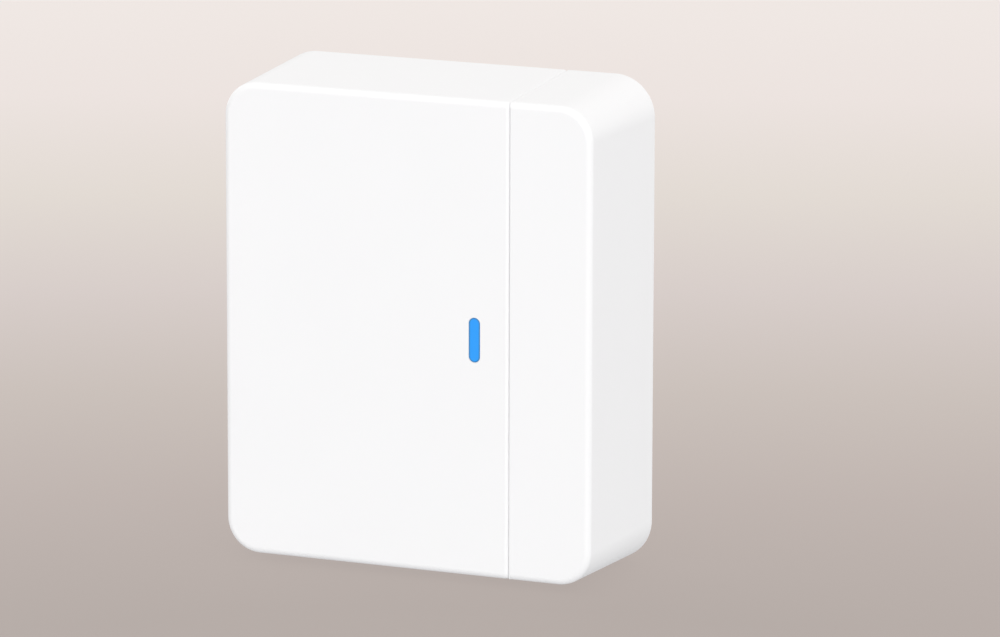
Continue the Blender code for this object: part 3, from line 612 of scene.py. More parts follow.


# --- Light pipe -----------------------------------------------------------------------------------
# A pill of polycarbonate dyed blue, pressed into the cover from behind up to its flange. Its face
# glows evenly, as when the lamp on the board is lit, and painted shade makes it darker close to its
# edge.

LIGHT_FLANGE = 0.7 * MM
LIGHT_FLANGE_THICK = 0.8 * MM
LIGHT_REST = 0.2 * MM
LIGHT_CHAMFER = 0.05 * MM
LIGHT_STEM_HEIGHT = 2.4 * MM
PAINTED_RIM_SHADE = 0.17 * MM

blue_glow, tree, shader, place = new_material("blue_polycarbonate")
split = add_node(tree, "SeparateXYZ", {"Vector": place["Object"]})
across = maths(tree, "SUBTRACT", split["X"], light_x)
height = maths(tree, "ABSOLUTE", split["Z"])
beyond = maths(tree, "SUBTRACT", height, (LIGHT_HEIGHT - LIGHT_WIDTH) / 2)
above = maths(tree, "MAXIMUM", beyond, 0.0)
both = add_node(tree, "CombineXYZ", {"X": across, "Y": above})["Vector"]
radial = add_node(tree, "VectorMath", {0: both}, operation="LENGTH")["Value"]
# Painted shade: the face's colour and glow darken towards the pill's rim.
span = {"From Min": LIGHT_WIDTH / 2 - PAINTED_RIM_SHADE, "From Max": LIGHT_WIDTH / 2 - LIGHT_CHAMFER}
edge = add_node(tree, "MapRange", {"Value": radial, **span})["Result"]
glow = colour_ramp(tree, edge, (0.0, linear("#158CE2")), (1.0, linear("#2474AC")))
feed(shader, {"Base Color": glow, "Emission Color": glow, "Emission Strength": 0.25})
feed(shader, {"Roughness": 0.3, "IOR": 1.58})

flange_front = sensor_inner_front + LIGHT_REST
flange_back = flange_front + LIGHT_FLANGE_THICK
flange_middle = (flange_front + flange_back) / 2
flange_size = (LIGHT_WIDTH + 2 * LIGHT_FLANGE, LIGHT_HEIGHT + 2 * LIGHT_FLANGE)
stem_size = (LIGHT_WIDTH * 0.9, LIGHT_STEM_HEIGHT)
light_piece = pill("light_pipe_body", light_x, LIGHT_WIDTH, LIGHT_HEIGHT, flange_middle, light_box[0].y)
round_front(light_piece, LIGHT_CHAMFER, 2)
unite(light_piece, pill("flange", light_x, *flange_size, flange_back, flange_front))
unite(light_piece, pill("stem", light_x, *stem_size, light_box[1].y, flange_middle))
hand_over(light_piece, blue_glow, "sensor_cover", "blue_light", "light_pipe")


# --- Base plates ----------------------------------------------------------------------------------
# Two shallow trays moulded in slightly greyer ABS. Each closes the back of its cover and holds it
# by four clip noses on its rim. The sensor's has two drilled bosses for the board's screws, and
# the magnet's has a rib at either end of the magnet.

PLATE_INSET = 1.6 * MM
PLATE_THICK = 1.5 * MM
PLATE_RIM = 1.5 * MM
PLATE_EDGE = 0.2 * MM
RIM_WALL = 0.8 * MM
CLIP_NOSE = 0.2 * MM
BOSS_RADIUS = 1.7 * MM
BOSS_GAP = 0.2 * MM
BOSS_BORE = 0.95 * MM
BOSS_CHAMFER = 0.15 * MM
BORE_BEYOND = 0.3 * MM
MAGNET_GAP = 0.2 * MM
MAGNET_RIB = 1.2 * MM

plate_abs = moulded_plastic("off_white_abs", "#E4E4E5", 0.5, 0.35, 0.006)


def base_plate(name, box, outward):
    """A tray with an upstanding rim and four clip noses with slanted fronts."""
    rim = box[1].y
    tall = PLATE_THICK + PLATE_RIM
    plate = case_block(name, box, outward, PLATE_INSET, 0.0, tall)
    cut(plate, case_block("tray", box, outward, PLATE_INSET + RIM_WALL, PLATE_THICK, tall + OVERCUT))
    round_back(plate, PLATE_EDGE, 3)
    for foot, sign in zip(sides(box, outward, PLATE_INSET, CLIP_BACK), (outward, -outward)):
        root, tip = foot - sign * RIM_WALL / 2, foot + sign * CLIP_NOSE
        for z in CLIP_ROWS:
            low = (root, rim - CLIP_BACK - CLIP_HEIGHT / 2, z - CLIP_LENGTH / 2)
            high = (tip, rim - CLIP_BACK + CLIP_HEIGHT / 2, z + CLIP_LENGTH / 2)
            nose = block("nose", low, high)
            round_edges(
                nose, CLIP_NOSE * 0.7, 2, lambda e: all(abs(v.co.x - tip) < TOUCH for v in e.verts)
            )
            unite(plate, nose)
    return plate


sensor_plate = base_plate("sensor_plate", sensor_box, -1)
plate_back = sensor_box[1].y
post_root = plate_back - PLATE_THICK / 2
board_low, board_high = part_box("circuit_board")
boss_front = board_high.y + BOSS_GAP
screw_boxes = {end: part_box("board_screw_" + end) for end in ("upper", "lower")}
for box in screw_boxes.values():
    x, z = centre(box)
    boss = disc("boss", x, z, boss_front, post_root, BOSS_RADIUS)
    round_front(boss, BOSS_CHAMFER, 2)
    unite(sensor_plate, boss)
    bore_end = box[1].y + BORE_BEYOND
    cut(sensor_plate, disc("bore", x, z, boss_front - OVERCUT, bore_end, BOSS_BORE, 32))
hand_over(sensor_plate, plate_abs, "sensor_base", "inner_plastic", "sensor_base_plate")

magnet_plate = base_plate("magnet_plate", magnet_box, 1)
magnet_low, magnet_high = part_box("bar_magnet")
rib_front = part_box("magnet_base_plate")[0].y
for edge_z, sign in ((magnet_high.z, 1), (magnet_low.z, -1)):
    near = edge_z + sign * MAGNET_GAP
    far = near + sign * MAGNET_RIB
    rib = block("rib", (magnet_low.x, rib_front, near), (magnet_high.x, post_root, far))
    round_front(rib, 0.3 * MM, 3)
    unite(magnet_plate, rib)
hand_over(magnet_plate, plate_abs, "magnet_unit", "inner_plastic", "magnet_base_plate")


# --- Foam tape pads -------------------------------------------------------------------------------
# Die-cut pads of grey polyethylene foam tape stuck on the base plates. Each still carries its
# release liner, a glossy pale paper that is slit across so that it can be peeled.

LINER_THICK = 0.08 * MM
LINER_SLIT = 0.15 * MM


def foam(name, colour, cell_mm):
    """Closed-cell foam: matt, with the cut cells showing as small pits, painted darker in their middles
    as shade.
    """
    made, tree, shader, place = new_material(name)
    values = {"Vector": place["Object"], "Scale": 1.0 / (cell_mm * MM)}
    cells = add_node(tree, "TexVoronoi", values)["Distance"]
    # The cells' colour is painted shade, darker towards each pit's middle.
    feed(shader, {"Base Color": two_tone(tree, cells, colour, 0.7), "Roughness": 0.9, "IOR": 1.5})
    feed(shader, {"Normal": relief(tree, cells, 0.6, cell_mm * MM / 4)})
    return made


tape_foam = foam("grey_polyethylene_foam", "#8A8C8F", 0.25)
liner_paper = moulded_plastic("siliconised_liner_paper", "#E9E3CF", 0.25, 0.6, 0.004)
for node, body, corner in (
    ("sensor_adhesive_pad", "sensor_base", 1.6 * MM), ("magnet_adhesive_pad", "magnet_unit", 1.0 * MM)
):
    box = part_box(node)
    wall = box[1].y
    core = slab(node + "_foam", box, plate_back, wall - LINER_THICK)
    round_corners(core, corner, 8)
    hand_over(core, tape_foam, body, "foam_tape", node)
    liner = slab(node + "_liner", box, wall - LINER_THICK, wall)
    round_corners(liner, corner, 8)
    low = (box[0].x - OVERCUT, wall - OVERCUT, -LINER_SLIT / 2)
    cut(liner, block("slit", low, (box[1].x + OVERCUT, wall + OVERCUT, LINER_SLIT / 2)))
    hand_over(liner, liner_paper, body, "foam_tape")


# --- Circuit board --------------------------------------------------------------------------------
# A 1 mm glass-epoxy board under green solder mask. Copper tracks stand out a little under the
# mask, the pads are gold plated, and the outlines round the parts are printed in white.

BOARD_CORNER = 2.5 * MM
TRACK_WIDTH = 0.25 * MM
TRACK_RISE = 0.02 * MM
INK_WIDTH = 0.14 * MM
SCREW_HOLE = 1.05 * MM
SCREW_LAND = 1.75 * MM
LEAD_SETBACK = 0.18 * MM
LEAD_HOLE = 0.3 * MM
LEAD_LAND = 0.62 * MM
VIA_RADIUS = 0.32 * MM
TEST_PAD_RADIUS = 0.55 * MM
TEST_PAD_X = 11.55 * MM
PAD_THICK = 0.06 * MM
LAMINATE = "#B7AE7C"
board_face = board_low.y
board_middle = (board_low.y + board_high.y) / 2


def plated_metal(name, colour, roughness, grain_mm, stretch=1.0, relief_mm=0.001):
    """A metal skin with a fine finish. stretch above 1 draws the grain out along X, as brushing."""
    made, tree, shader, place = new_material(name)
    values = {"Vector": place["Object"], "Scale": (1.0 / stretch, 1.0, 1.0)}
    drawn = add_node(tree, "Mapping", values)["Vector"]
    grain = noise(tree, drawn, grain_mm * MM, 4.0)
    gloss = spread(tree, grain, max(roughness - 0.08, 0.02), roughness + 0.1)
    feed(shader, {"Base Color": two_tone(tree, grain, colour, 0.85), "Roughness": gloss})
    feed(shader, {"Normal": relief(tree, grain, 0.3, relief_mm * MM), "Metallic": 1.0})
    return made


def masked_board(name, mask, core):
    """Glass-epoxy board: glossy solder mask on both faces, and the bare laminate at its edges."""
    made, tree, shader, place = new_material(name)
    split = add_node(tree, "SeparateXYZ", {"Vector": place["Normal"]})
    facing = maths(tree, "ABSOLUTE", split["Y"])
    tones = {"Color1": linear(mask), "Color2": linear(mask, 0.93)}
    values = {"Vector": place["Object"], "Scale": 1.0 / (0.4 * MM), **tones}
    weave = add_node(tree, "TexChecker", values)["Color"]
    skin = add_node(tree, "Mix", {0: facing, 6: linear(core), 7: weave}, data_type="RGBA")[2]
    feed(shader, {"Base Color": skin, "Roughness": 0.3, "IOR": 1.55})
    return made


def soften(points, radius, steps=4):
    """Replace each inner corner of a path with a short arc of points."""
    points = [Vector(point) for point in points]
    made = [points[0]]
    for before, corner, after in zip(points, points[1:], points[2:]):
        start = corner + (before - corner).normalized() * radius
        end = corner + (after - corner).normalized() * radius
        for step in range(steps + 1):
            share = step / steps
            made.append(start.lerp(corner, share).lerp(corner.lerp(end, share), share))
    return [*made, points[-1]]


def sweep(name, points, closed=False, **settings):
    """A closed mesh swept along a path, with a curve's settings."""
    deselect()
    curve = bpy.data.curves.new(name, "CURVE")
    for key, value in settings.items():
        setattr(curve, key, value)
    spline = curve.splines.new("POLY")
    spline.points.add(len(points) - 1)
    for spot, point in zip(spline.points, points):
        spot.co = (*point, 1.0)
    spline.use_cyclic_u = closed
    made = bpy.data.objects.new(name, curve)
    bpy.context.collection.objects.link(made)
    choose(made)
    bpy.ops.object.convert(target="MESH")
    made = bpy.context.object
    pick(made, "VERT", lambda v: True)
    bpy.ops.mesh.remove_doubles(threshold=0.0001 * MM)
    bpy.ops.mesh.fill_holes(sides=0)
    bpy.ops.mesh.normals_make_consistent(inside=False)
    leave()
    return made


def line(name, points, radius, rounds=2, closed=False):
    """A round wire along a path."""
    settings = {"dimensions": "3D", "bevel_depth": radius, "bevel_resolution": rounds}
    return sweep(name, points, closed, use_fill_caps=True, **settings)


def flat_line(name, points, width, thick, face, closed=False):
    """A flat line on a face that looks along -Y, given by (x, z) points in metres."""
    made = line(name, [(x, 0.0, z) for x, z in points], width / 2, 1, closed)
    made.scale = (1.0, thick / (width / 2), 1.0)
    made.location = (0.0, face, 0.0)
    return settle(made)


def outline(box, margin, width, thick):
    """A printed frame round a part, from the part's box."""
    low, high = box
    x0, x1, z0, z1 = low.x - margin, high.x + margin, low.z - margin, high.z + margin
    corners = [(x, 0.0, z) for x, z in ((x0, z0), (x1, z0), (x1, z1), (x0, z1))]
    run = soften([corners[-1], *corners, corners[0]], width * 2, 3)[1:-1]
    return flat_line("ink", [(p.x, p.z) for p in run], width, thick, board_face, closed=True)


glass_low, glass_high = glass_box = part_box("reed_glass")
reed_x, glass_middle = centre(glass_box)
lead_z = {
    "upper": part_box("reed_blade_upper")[1].z - LEAD_SETBACK,
    "lower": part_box("reed_blade_lower")[0].z + LEAD_SETBACK,
}
# Each drilled hole: its place, its radius and sides, and its land's radius and sides.
drilled = [(*centre(box), SCREW_HOLE, 40, SCREW_LAND, 40) for box in screw_boxes.values()]
drilled += [(reed_x, z, LEAD_HOLE, 24, LEAD_LAND, 28) for z in lead_z.values()]
board = block("board", board_low, board_high)
round_corners(board, BOARD_CORNER, 12)
for x, z, radius, around, _, _ in drilled:
    cut(board, drum("hole", (x, board_middle, z), radius, 3 * MM, around))
green_mask = masked_board("green_masked_glass_epoxy", "#12663A", LAMINATE)
hand_over(board, green_mask, "sensor_base", "board", "circuit_board")

# Tracks are listed as (x, z) points in millimetres.
TRACKS = (
    ((-4.0, 3.2), (-4.0, 2.2), (0.2, 1.4), (5.2, 1.4), (6.4, 2.6), (6.4, 4.4)),
    ((1.2, 9.6), (1.2, 11.0), (2.6, 12.4), (3.3, 12.4)),
    ((2.6, 9.6), (2.6, 10.6), (3.2, 11.2)),
    ((6.8, 9.4), (6.8, 10.6), (9.4, 13.2), (9.4, 15.6)),
    ((8.2, 9.4), (9.9, 11.1), (9.9, 13.6)),
    ((5.0, 6.2), (7.2, 6.2), (8.2, 5.2), (8.2, 2.4), (9.6, 1.0), (10.6, 1.0)),
    ((9.3, 7.4), (9.3, 3.4), (11.0, 1.7)),
    ((11.3, -1.2), (11.3, -5.0), (11.6, -5.3), (11.6, -7.0)),
    ((10.2, -2.0), (10.2, -3.2), (10.8, -3.8), (10.8, -19.0)),
    ((12.3, -2.0), (12.3, -18.8), (11.4, -19.8), (7.0, -19.8)),
    ((12.0, 1.6), (12.0, 2.0), (11.6, 2.2)),
    ((2.0, 17.0), (2.0, 19.4), (2.9, 20.3), (8.4, 20.3)),
    ((3.6, 17.4), (3.6, 18.6), (4.4, 19.4), (8.2, 19.4)),
    ((7.4, 16.6), (7.4, 18.2), (8.4, 18.2)),
    ((-11.9, 2.8), (-11.9, 1.6), (-10.9, 0.9)),
    ((-9.4, 3.0), (-9.4, 1.9), (-8.5, 1.4)),
)
tracks, pads = [], []
for run in TRACKS:
    points = [(x * MM, z * MM) for x, z in run]
    tracks.append(flat_line("track", points, TRACK_WIDTH, TRACK_RISE, board_face))
track_mask = masked_board("green_mask_over_copper", "#2C8B4E", "#2C8B4E")
hand_over(merge("board_tracks", tracks), track_mask, "sensor_base", "board")

gold = plated_metal("gold_plated_copper", "#E3BE72", 0.3, 0.3)
for run in TRACKS:
    x, z = run[-1]
    via = drum("via", (x * MM, board_face, z * MM), VIA_RADIUS, PAD_THICK, 20)
    inset_front(via, (0.16 * MM, 0.0), (0.02 * MM, -0.03 * MM))
    pads.append(via)
for z in (-8.0, -10.5, -13.0, -15.5):
    pad = drum("pad", (TEST_PAD_X, board_face, z * MM), TEST_PAD_RADIUS, PAD_THICK, 28)
    inset_front(pad, (0.05 * MM, 0.01 * MM))
    pads.append(pad)
for x, z, radius, around, land_radius, land_around in drilled:
    land = drum("land", (x, board_face, z), land_radius, PAD_THICK, land_around)
    cut(land, drum("hole", (x, board_face, z), radius, 1.0 * MM, around))
    pads.append(land)
hand_over(merge("board_gold_pads", pads), gold, "sensor_base", "copper")

ink = moulded_plastic("white_board_ink", "#ECECE6", 0.6, 0.2, 0.002)
printed = [
    outline(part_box(node), margin * MM, INK_WIDTH, TRACK_RISE * 1.5)
    for node, margin in (
        ("pairing_switch_body", 0.35),
        ("reservoir_capacitor", 0.75),
        ("led_chip", 0.5),
        ("radio_module_board", 0.35),
    )
]
for number in (1, 2, 3):
    for kind in ("chip_capacitor_%d", "chip_resistor_%d"):
        printed.append(outline(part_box(kind % number), 0.25 * MM, INK_WIDTH * 0.8, TRACK_RISE))
hand_over(merge("board_print", printed), ink, "sensor_base", "board")


# --- Board screws ---------------------------------------------------------------------------------
# Two thread-forming screws of zinc-plated steel with low pan heads and cross recesses.

SCREW_HEAD = 1.4 * MM
SCREW_RADIUS = 0.75 * MM
THREAD_PITCH = 0.45 * MM
RECESS_SIZE = (1.7 * MM, 0.9 * MM, 0.36 * MM)
screw_zinc = plated_metal("zinc_plated_steel", "#C4C5C6", 0.32, 0.4)


def divide(piece, cuts):
    """Cut the edges that run along Y into equal lengths."""
    pick(piece, "EDGE", lambda e: along(e, "Y"))
    bpy.ops.mesh.subdivide(number_cuts=cuts)
    leave()


seat = board_face - 0.03 * MM
for end, box in screw_boxes.items():
    x, z = centre(box)
    front, tip = box[0].y, box[1].y
    head = disc("head", x, z, front, seat, SCREW_HEAD)
    round_front(head, 0.35 * MM, 5)
    for angle in (0.0, math.pi / 2):
        cut(head, turned_block("recess", (x, front, z), RECESS_SIZE, angle + math.pi / 5))
    cut(head, disc("cone", x, z, front - 0.1 * MM, front + 0.6 * MM, 0.1 * MM, 24, 0.45 * MM))
    threads = [head, disc("shank", x, z, seat, tip, SCREW_RADIUS * 0.75, 24)]
    for turn in range(int((tip - seat) / THREAD_PITCH)):
        at = seat + (turn + 0.5) * THREAD_PITCH
        ridge = drum("ridge", (x, at, z), SCREW_RADIUS * 0.7, THREAD_PITCH * 0.9, 24)
        divide(ridge, 1)
        scale_points(ridge, (1.42, 1.0, 1.42), (x, at, z), lambda v: abs(v.co.y - at) < 10 * TOUCH)
        threads.append(ridge)
    screw = merge("board_screw_%s_zinc" % end, threads)
    hand_over(screw, screw_zinc, "sensor_base", "steel", "board_screw_" + end)


# --- Battery cradle and contacts ------------------------------------------------------------------
# A round holder moulded in black glass-filled nylon. Three lips spring over the cell, and a bent
# strip of nickelled spring steel reaches in through a gate to press on the cell's face. A second
# strip lies in the window under the cell.

CRADLE_SLACK = 0.3 * MM
CRADLE_FLOOR = 0.6 * MM
LIP_ANGLES = (110, 190, 280)
LIP_WIDTH = 3.6 * MM
LIP_THICK = 0.7 * MM
LIP_REACH = 0.8 * MM
GATE_ANGLE = 45
GATE_WIDTH = 5.0 * MM
SLIT_WIDTH = 0.45 * MM
STRIP_THICK = 0.25 * MM
STRIP_GAP = 0.2 * MM

cradle_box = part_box("battery_cradle")
cell_low, cell_high = cell_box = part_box("coin_cell")
cell_x, cell_z = centre(cell_box)
cell_radius = (cell_high.x - cell_low.x) / 2
cradle_front = cradle_box[0].y
cradle_outer = (cradle_box[1].x - cradle_box[0].x) / 2
cradle_inner = cell_radius + CRADLE_SLACK
black_nylon = moulded_plastic("black_glass_filled_nylon", "#2A2A2C", 0.55, 0.3, 0.01)


def round_the_cell(name, degrees, inner, outer, width, back, front, shift=0.0):
    """A block that points away from the cell's axis, from one radius to another."""
    angle = math.radians(degrees)
    reach = (inner + outer) / 2
    x = cell_x + reach * math.cos(angle) - shift * math.sin(angle)
    z = cell_z + reach * math.sin(angle) + shift * math.cos(angle)
    size = (outer - inner, back - front, width)
    return turned_block(name, (x, (back + front) / 2, z), size, -angle)


floor_front = cradle_box[1].y - CRADLE_FLOOR
open_front = cradle_front - OVERCUT
cradle = disc("cradle", cell_x, cell_z, cradle_front, board_face, cradle_outer, 128)
cut(cradle, disc("well", cell_x, cell_z, open_front, floor_front, cradle_inner, 128))
cut(cradle, drum("window", (cell_x, floor_front, cell_z), cell_radius / 2, 4 * OVERCUT, 64))
round_front(cradle, 0.22 * MM, 3)
for degrees in LIP_ANGLES:
    inner, outer = cell_radius - LIP_REACH, cradle_inner + 0.5 * MM
    lip_back = cradle_front + LIP_THICK
    lip = round_the_cell("lip", degrees, inner, outer, LIP_WIDTH, lip_back, cradle_front)
    round_front(lip, 0.25 * MM, 3)
    unite(cradle, lip)
    inner, outer = cradle_inner - 0.3 * MM, cradle_outer + OVERCUT
    slit_back = floor_front - 0.6 * MM
    for side in (-1, 1):
        aside = side * (LIP_WIDTH / 2 + SLIT_WIDTH / 2 + 0.1 * MM)
        cut(
            cradle,
            round_the_cell("slit", degrees, inner, outer, SLIT_WIDTH, slit_back, open_front, aside),
        )
inner, outer = cradle_inner - 1.0 * MM, cradle_outer + 1.0 * MM
cut(cradle, round_the_cell("gate", GATE_ANGLE, inner, outer, GATE_WIDTH, floor_front, open_front))
hand_over(cradle, black_nylon, "sensor_base", "black_plastic", "battery_cradle")


def strip(name, path, width, degrees, bend):
    """A bent strip along (outward, depth) points in metres, turned about the cell's axis."""
    made = sweep(
        name,
        soften([(out, -depth, 0.0) for out, depth in path], bend),
        dimensions="2D",
        fill_mode="NONE",
        extrude=(width - STRIP_THICK) / 2,
        bevel_depth=STRIP_THICK / 2,
        bevel_resolution=3,
    )
    made.rotation_euler = (0.0, -math.radians(degrees), 0.0)
    made.location = (cell_x, 0.0, cell_z)
    return settle(made)


spring_nickel = plated_metal("nickelled_spring_steel", "#CFCDC6", 0.25, 0.5, 6.0)
solder_depth = -board_face + STRIP_THICK / 2
foot_depth = -floor_front + STRIP_GAP + STRIP_THICK / 2
hook_depth = -cell_low.y + STRIP_GAP + STRIP_THICK / 2
leaf_depth = -cell_high.y - STRIP_GAP - STRIP_THICK / 2
upright = cradle_inner + 0.5 * MM
outside = cradle_outer + 0.4 * MM
clip_path = (
    (upright + 1.4 * MM, solder_depth),
    (outside, solder_depth),
    (outside, foot_depth),
    (upright, foot_depth),
    (upright, hook_depth + 0.05 * MM),
    (cell_radius - 1.0 * MM, hook_depth),
    (cell_radius - 1.6 * MM, hook_depth + 0.12 * MM),
)
clip = strip("positive_clip", clip_path, 4.0 * MM, GATE_ANGLE, 0.14 * MM)
hand_over(clip, spring_nickel, "sensor_base", "steel", "battery_clip_positive")
leaf_path = (
    (-3.85 * MM, solder_depth),
    (-1.9 * MM, solder_depth),
    (0.0, leaf_depth),
    (3.0 * MM, leaf_depth),
    (3.8 * MM, leaf_depth - 0.3 * MM),
)
leaf = strip("negative_leaf", leaf_path, 3.0 * MM, 0.0, 0.3 * MM)
hand_over(leaf, spring_nickel, "sensor_base", "steel", "battery_contact_negative")


# --- Coin cell ------------------------------------------------------------------------------------
# A 20 mm lithium button cell: a stainless can crimped over a black gasket, with the smaller cap
# facing the board. The can's face is brushed and carries only an embossed plus sign.

CAP_HEIGHT = 0.5 * MM
CAP_RADIUS = 8.6 * MM
CELL_DISH = 0.14 * MM
PLUS_LONG = 3.4 * MM
PLUS_WIDE = 0.7 * MM
PLUS_ABOVE = 4.6 * MM
GASKET_BEYOND = 0.35 * MM
GASKET_EDGE = 0.04 * MM

cell_steel = plated_metal("brushed_stainless_steel", "#C9C8C5", 0.3, 0.12, 14.0, 0.002)
black_gasket = moulded_plastic("black_polypropylene", "#232325", 0.5, 0.3, 0.004)

can_back = cell_high.y - CAP_HEIGHT
can = disc("coin_cell_can", cell_x, cell_z, cell_low.y, can_back, cell_radius, 128)
round_front(can, 0.5 * MM, 5)
round_back(can, 0.35 * MM, 4)
inset_front(can, (0.7 * MM, 0.0), (0.2 * MM, -CELL_DISH), least=100 * MM * MM)
face = cell_low.y + CELL_DISH
plus_z = cell_z + PLUS_ABOVE
for wide, tall in ((PLUS_LONG, PLUS_WIDE), (PLUS_WIDE, PLUS_LONG)):
    low = (cell_x - wide / 2, face - 0.12 * MM, plus_z - tall / 2)
    bar = block("bar", low, (cell_x + wide / 2, face + 0.3 * MM, plus_z + tall / 2))
    round_front(bar, 0.1 * MM, 2)
    unite(can, bar)
hand_over(can, cell_steel, "sensor_base", "steel", "coin_cell")
cap = disc("coin_cell_cap", cell_x, cell_z, can_back, cell_high.y, CAP_RADIUS, 96)
round_back(cap, 0.2 * MM, 3)
hand_over(cap, cell_steel, "sensor_base", "steel")
gasket_size = (can_back - 0.02 * MM, can_back + 0.1 * MM, CAP_RADIUS + GASKET_BEYOND)
gasket = disc("coin_cell_gasket", cell_x, cell_z, *gasket_size, 96)
round_edges(gasket, GASKET_EDGE, 2, lambda e: not along(e, "Y"))
hand_over(gasket, black_gasket, "sensor_base", "black_plastic")


# --- Reed switch ----------------------------------------------------------------------------------
# Two flattened nickel-iron blades whose ends overlap inside a tube of green glass that is sealed
# onto their leads. The leads are bent down through the board and soldered.

BLADE_RADIUS = 0.18 * MM
BLADE_ASIDE = 0.16 * MM
GLASS_WALL = 0.25 * MM
GLASS_SEAL = 0.8 * MM

reed_glass, tree, shader, place = new_material("green_soda_glass")
ripple = noise(tree, place["Object"], 3.0 * MM, 1.0)
feed(shader, {"Base Color": linear("#CFE6D6"), "Transmission Weight": 1.0, "IOR": 1.51})
feed(shader, {"Normal": relief(tree, ripple, 0.2, 0.02 * MM), "Roughness": 0.03})

glass_radius = (glass_high.x - glass_low.x) / 2
glass_length = glass_high.z - glass_low.z
reed_y = glass_low.y + glass_radius
tube_middle = (reed_x, reed_y, glass_middle)
tube = drum("reed_tube", tube_middle, glass_radius, glass_length, 40, "Z")
round_edges(tube, 0.7 * MM, 8, lambda e: not along(e, "Z"))
hollow_length = glass_length - 2 * GLASS_SEAL
hollow = drum("hollow", tube_middle, glass_radius - GLASS_WALL, hollow_length, 40, "Z")
round_edges(hollow, 0.6 * MM, 6, lambda e: not along(e, "Z"))
cut(tube, hollow)
hand_over(tube, reed_glass, "sensor_base", "glass", "reed_glass")

blade_metal = plated_metal("nickel_iron_blade", "#B9B5AC", 0.3, 0.3)
for end, sign in (("upper", 1), ("lower", -1)):
    aside = reed_x + sign * BLADE_ASIDE
    paddle = glass_middle + sign * 2.0 * MM
    path = (
        (aside, reed_y, glass_middle - sign * 0.7 * MM),
        (aside, reed_y, paddle),
        (reed_x, reed_y, glass_middle + sign * 3.4 * MM),
        (reed_x, reed_y, lead_z[end]),
        (reed_x, board_high.y + 0.5 * MM, lead_z[end]),
    )
    blade = line("reed_blade_" + end + "_wire", soften(path, 0.5 * MM, 6), BLADE_RADIUS, 3)
    scale_points(
        blade,
        (0.4, 2.0, 1.0),
        (aside, reed_y, glass_middle),
        lambda v: (v.co.z - paddle) * sign < 0 and v.co.y < reed_y + 0.3 * MM,
    )
    hand_over(blade, blade_metal, "sensor_base", "steel", "reed_blade_" + end)

solder = plated_metal("tin_solder", "#D2D2D0", 0.22, 0.5)
joints = []
for z in lead_z.values():
    for front, wide, narrow in (
        (board_face - 0.4 * MM, 0.5 * MM, 0.2 * MM), (board_high.y, 0.2 * MM, 0.5 * MM)
    ):
        joints.append(disc("joint", reed_x, z, front, front + 0.4 * MM, wide, 28, narrow))
hand_over(merge("reed_solder", joints), solder, "sensor_base", "steel")


# --- Status lamp ----------------------------------------------------------------------------------
# A blue light-emitting diode: a white ceramic package with a cast lens of clear epoxy on it, and
# a gold-plated contact wrapped round either end.

PACKAGE_HEIGHT = 0.25 * MM
LENS_SETBACK = 0.25 * MM

epoxy, tree, shader, place = new_material("cast_clear_epoxy")
cloud = noise(tree, place["Object"], 0.4 * MM)
tint = colour_ramp(tree, cloud, (0.0, linear("#D9E6F5")), (1.0, linear("#EEF4FB")))
feed(shader, {"Base Color": tint, "Roughness": 0.12, "IOR": 1.53, "Transmission Weight": 0.5})

lamp_low, lamp_high = lamp_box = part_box("led_chip")
package_front = lamp_high.y - PACKAGE_HEIGHT
lens = slab("lamp_lens", lamp_box, lamp_low.y, package_front, 0.06 * MM, LENS_SETBACK)
round_front(lens, 0.12 * MM, 4)
hand_over(lens, epoxy, "sensor_base", "lamp", "led_chip")
alumina = moulded_plastic("white_alumina", "#E8E6DF", 0.45, 0.15, 0.003)
package = slab("lamp_package", lamp_box, package_front - 0.01 * MM, board_face, in_z=0.02 * MM)
round_edges(package, 0.03 * MM, 2)
hand_over(package, alumina, "sensor_base", "lamp")


def wedge(near, far, axis, fall):
    """A wedge of solder on the board. Its front edge at the far corner is let down by its fall."""
    made = block("wedge", near, far)
    move_points(
        made,
        (0, fall, 0),
        lambda v: abs(v.co[axis] - far[axis]) < TOUCH and v.co.y < board_face - 0.1 * MM,
    )
    return made


def end_caps(name, box, front, reach, grow):
    """The two contacts wrapped over a chip's upper and lower ends, down onto the board."""
    low, high = box
    made = []
    for z, sign in ((low.z, 1), (high.z, -1)):
        near = (low.x - grow, front - grow, z - sign * grow)
        tip = block(name, near, (high.x + grow, board_face, z + sign * reach))
        round_edges(tip, 0.06 * MM, 3)
        near = (low.x - 2 * grow, board_face - 0.05 * MM, z)
        foot = block(name, near, (high.x + 2 * grow, board_face, z - sign * 0.3 * MM))
        far = (high.x, board_face - 0.3 * MM, z - sign * 0.25 * MM)
        made += [tip, foot, wedge((low.x, board_face, z), far, 2, 0.24 * MM)]
    return merge(name, made)


lamp_contacts = end_caps("lamp_contacts", lamp_box, package_front, 0.22 * MM, 0.015 * MM)
hand_over(lamp_contacts, gold, "sensor_base", "lamp")


# --- Radio module ---------------------------------------------------------------------------------
# A small radio board under blue mask, soldered down by the half holes along its two long edges. A
# can of tinned steel screens its circuits and a printed aerial is folded to and fro above it.

HALF_HOLE_PITCH = 1.27 * MM
HALF_HOLE_RADIUS = 0.32 * MM
HALF_HOLES = 12
CAN_BORDER = 1.1 * MM
CAN_DISH = 0.1 * MM
CAN_HOLE_RADIUS = 0.35 * MM
AERIAL_FOLDS = 5
AERIAL_WIDTH = 0.5 * MM

module_low, module_high = module_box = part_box("radio_module_board")
can_low, can_high = can_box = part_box("shield_can")
aerial_low, aerial_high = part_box("module_antenna")
module_front = module_low.y
module_middle = (module_low + module_high) / 2
half_holes = [
    (x, sign, module_middle.z + (number - (HALF_HOLES - 1) / 2) * HALF_HOLE_PITCH)
    for x, sign in ((module_low.x, 1), (module_high.x, -1))
    for number in range(HALF_HOLES)
]


def bite_half_holes(piece):
    """Drill the half holes along the module's two long edges."""
    bites = [
        drum("bite", (x, module_middle.y, z), HALF_HOLE_RADIUS, 3 * MM, 16) for x, _, z in half_holes
    ]
    cut(piece, merge("bites", bites))


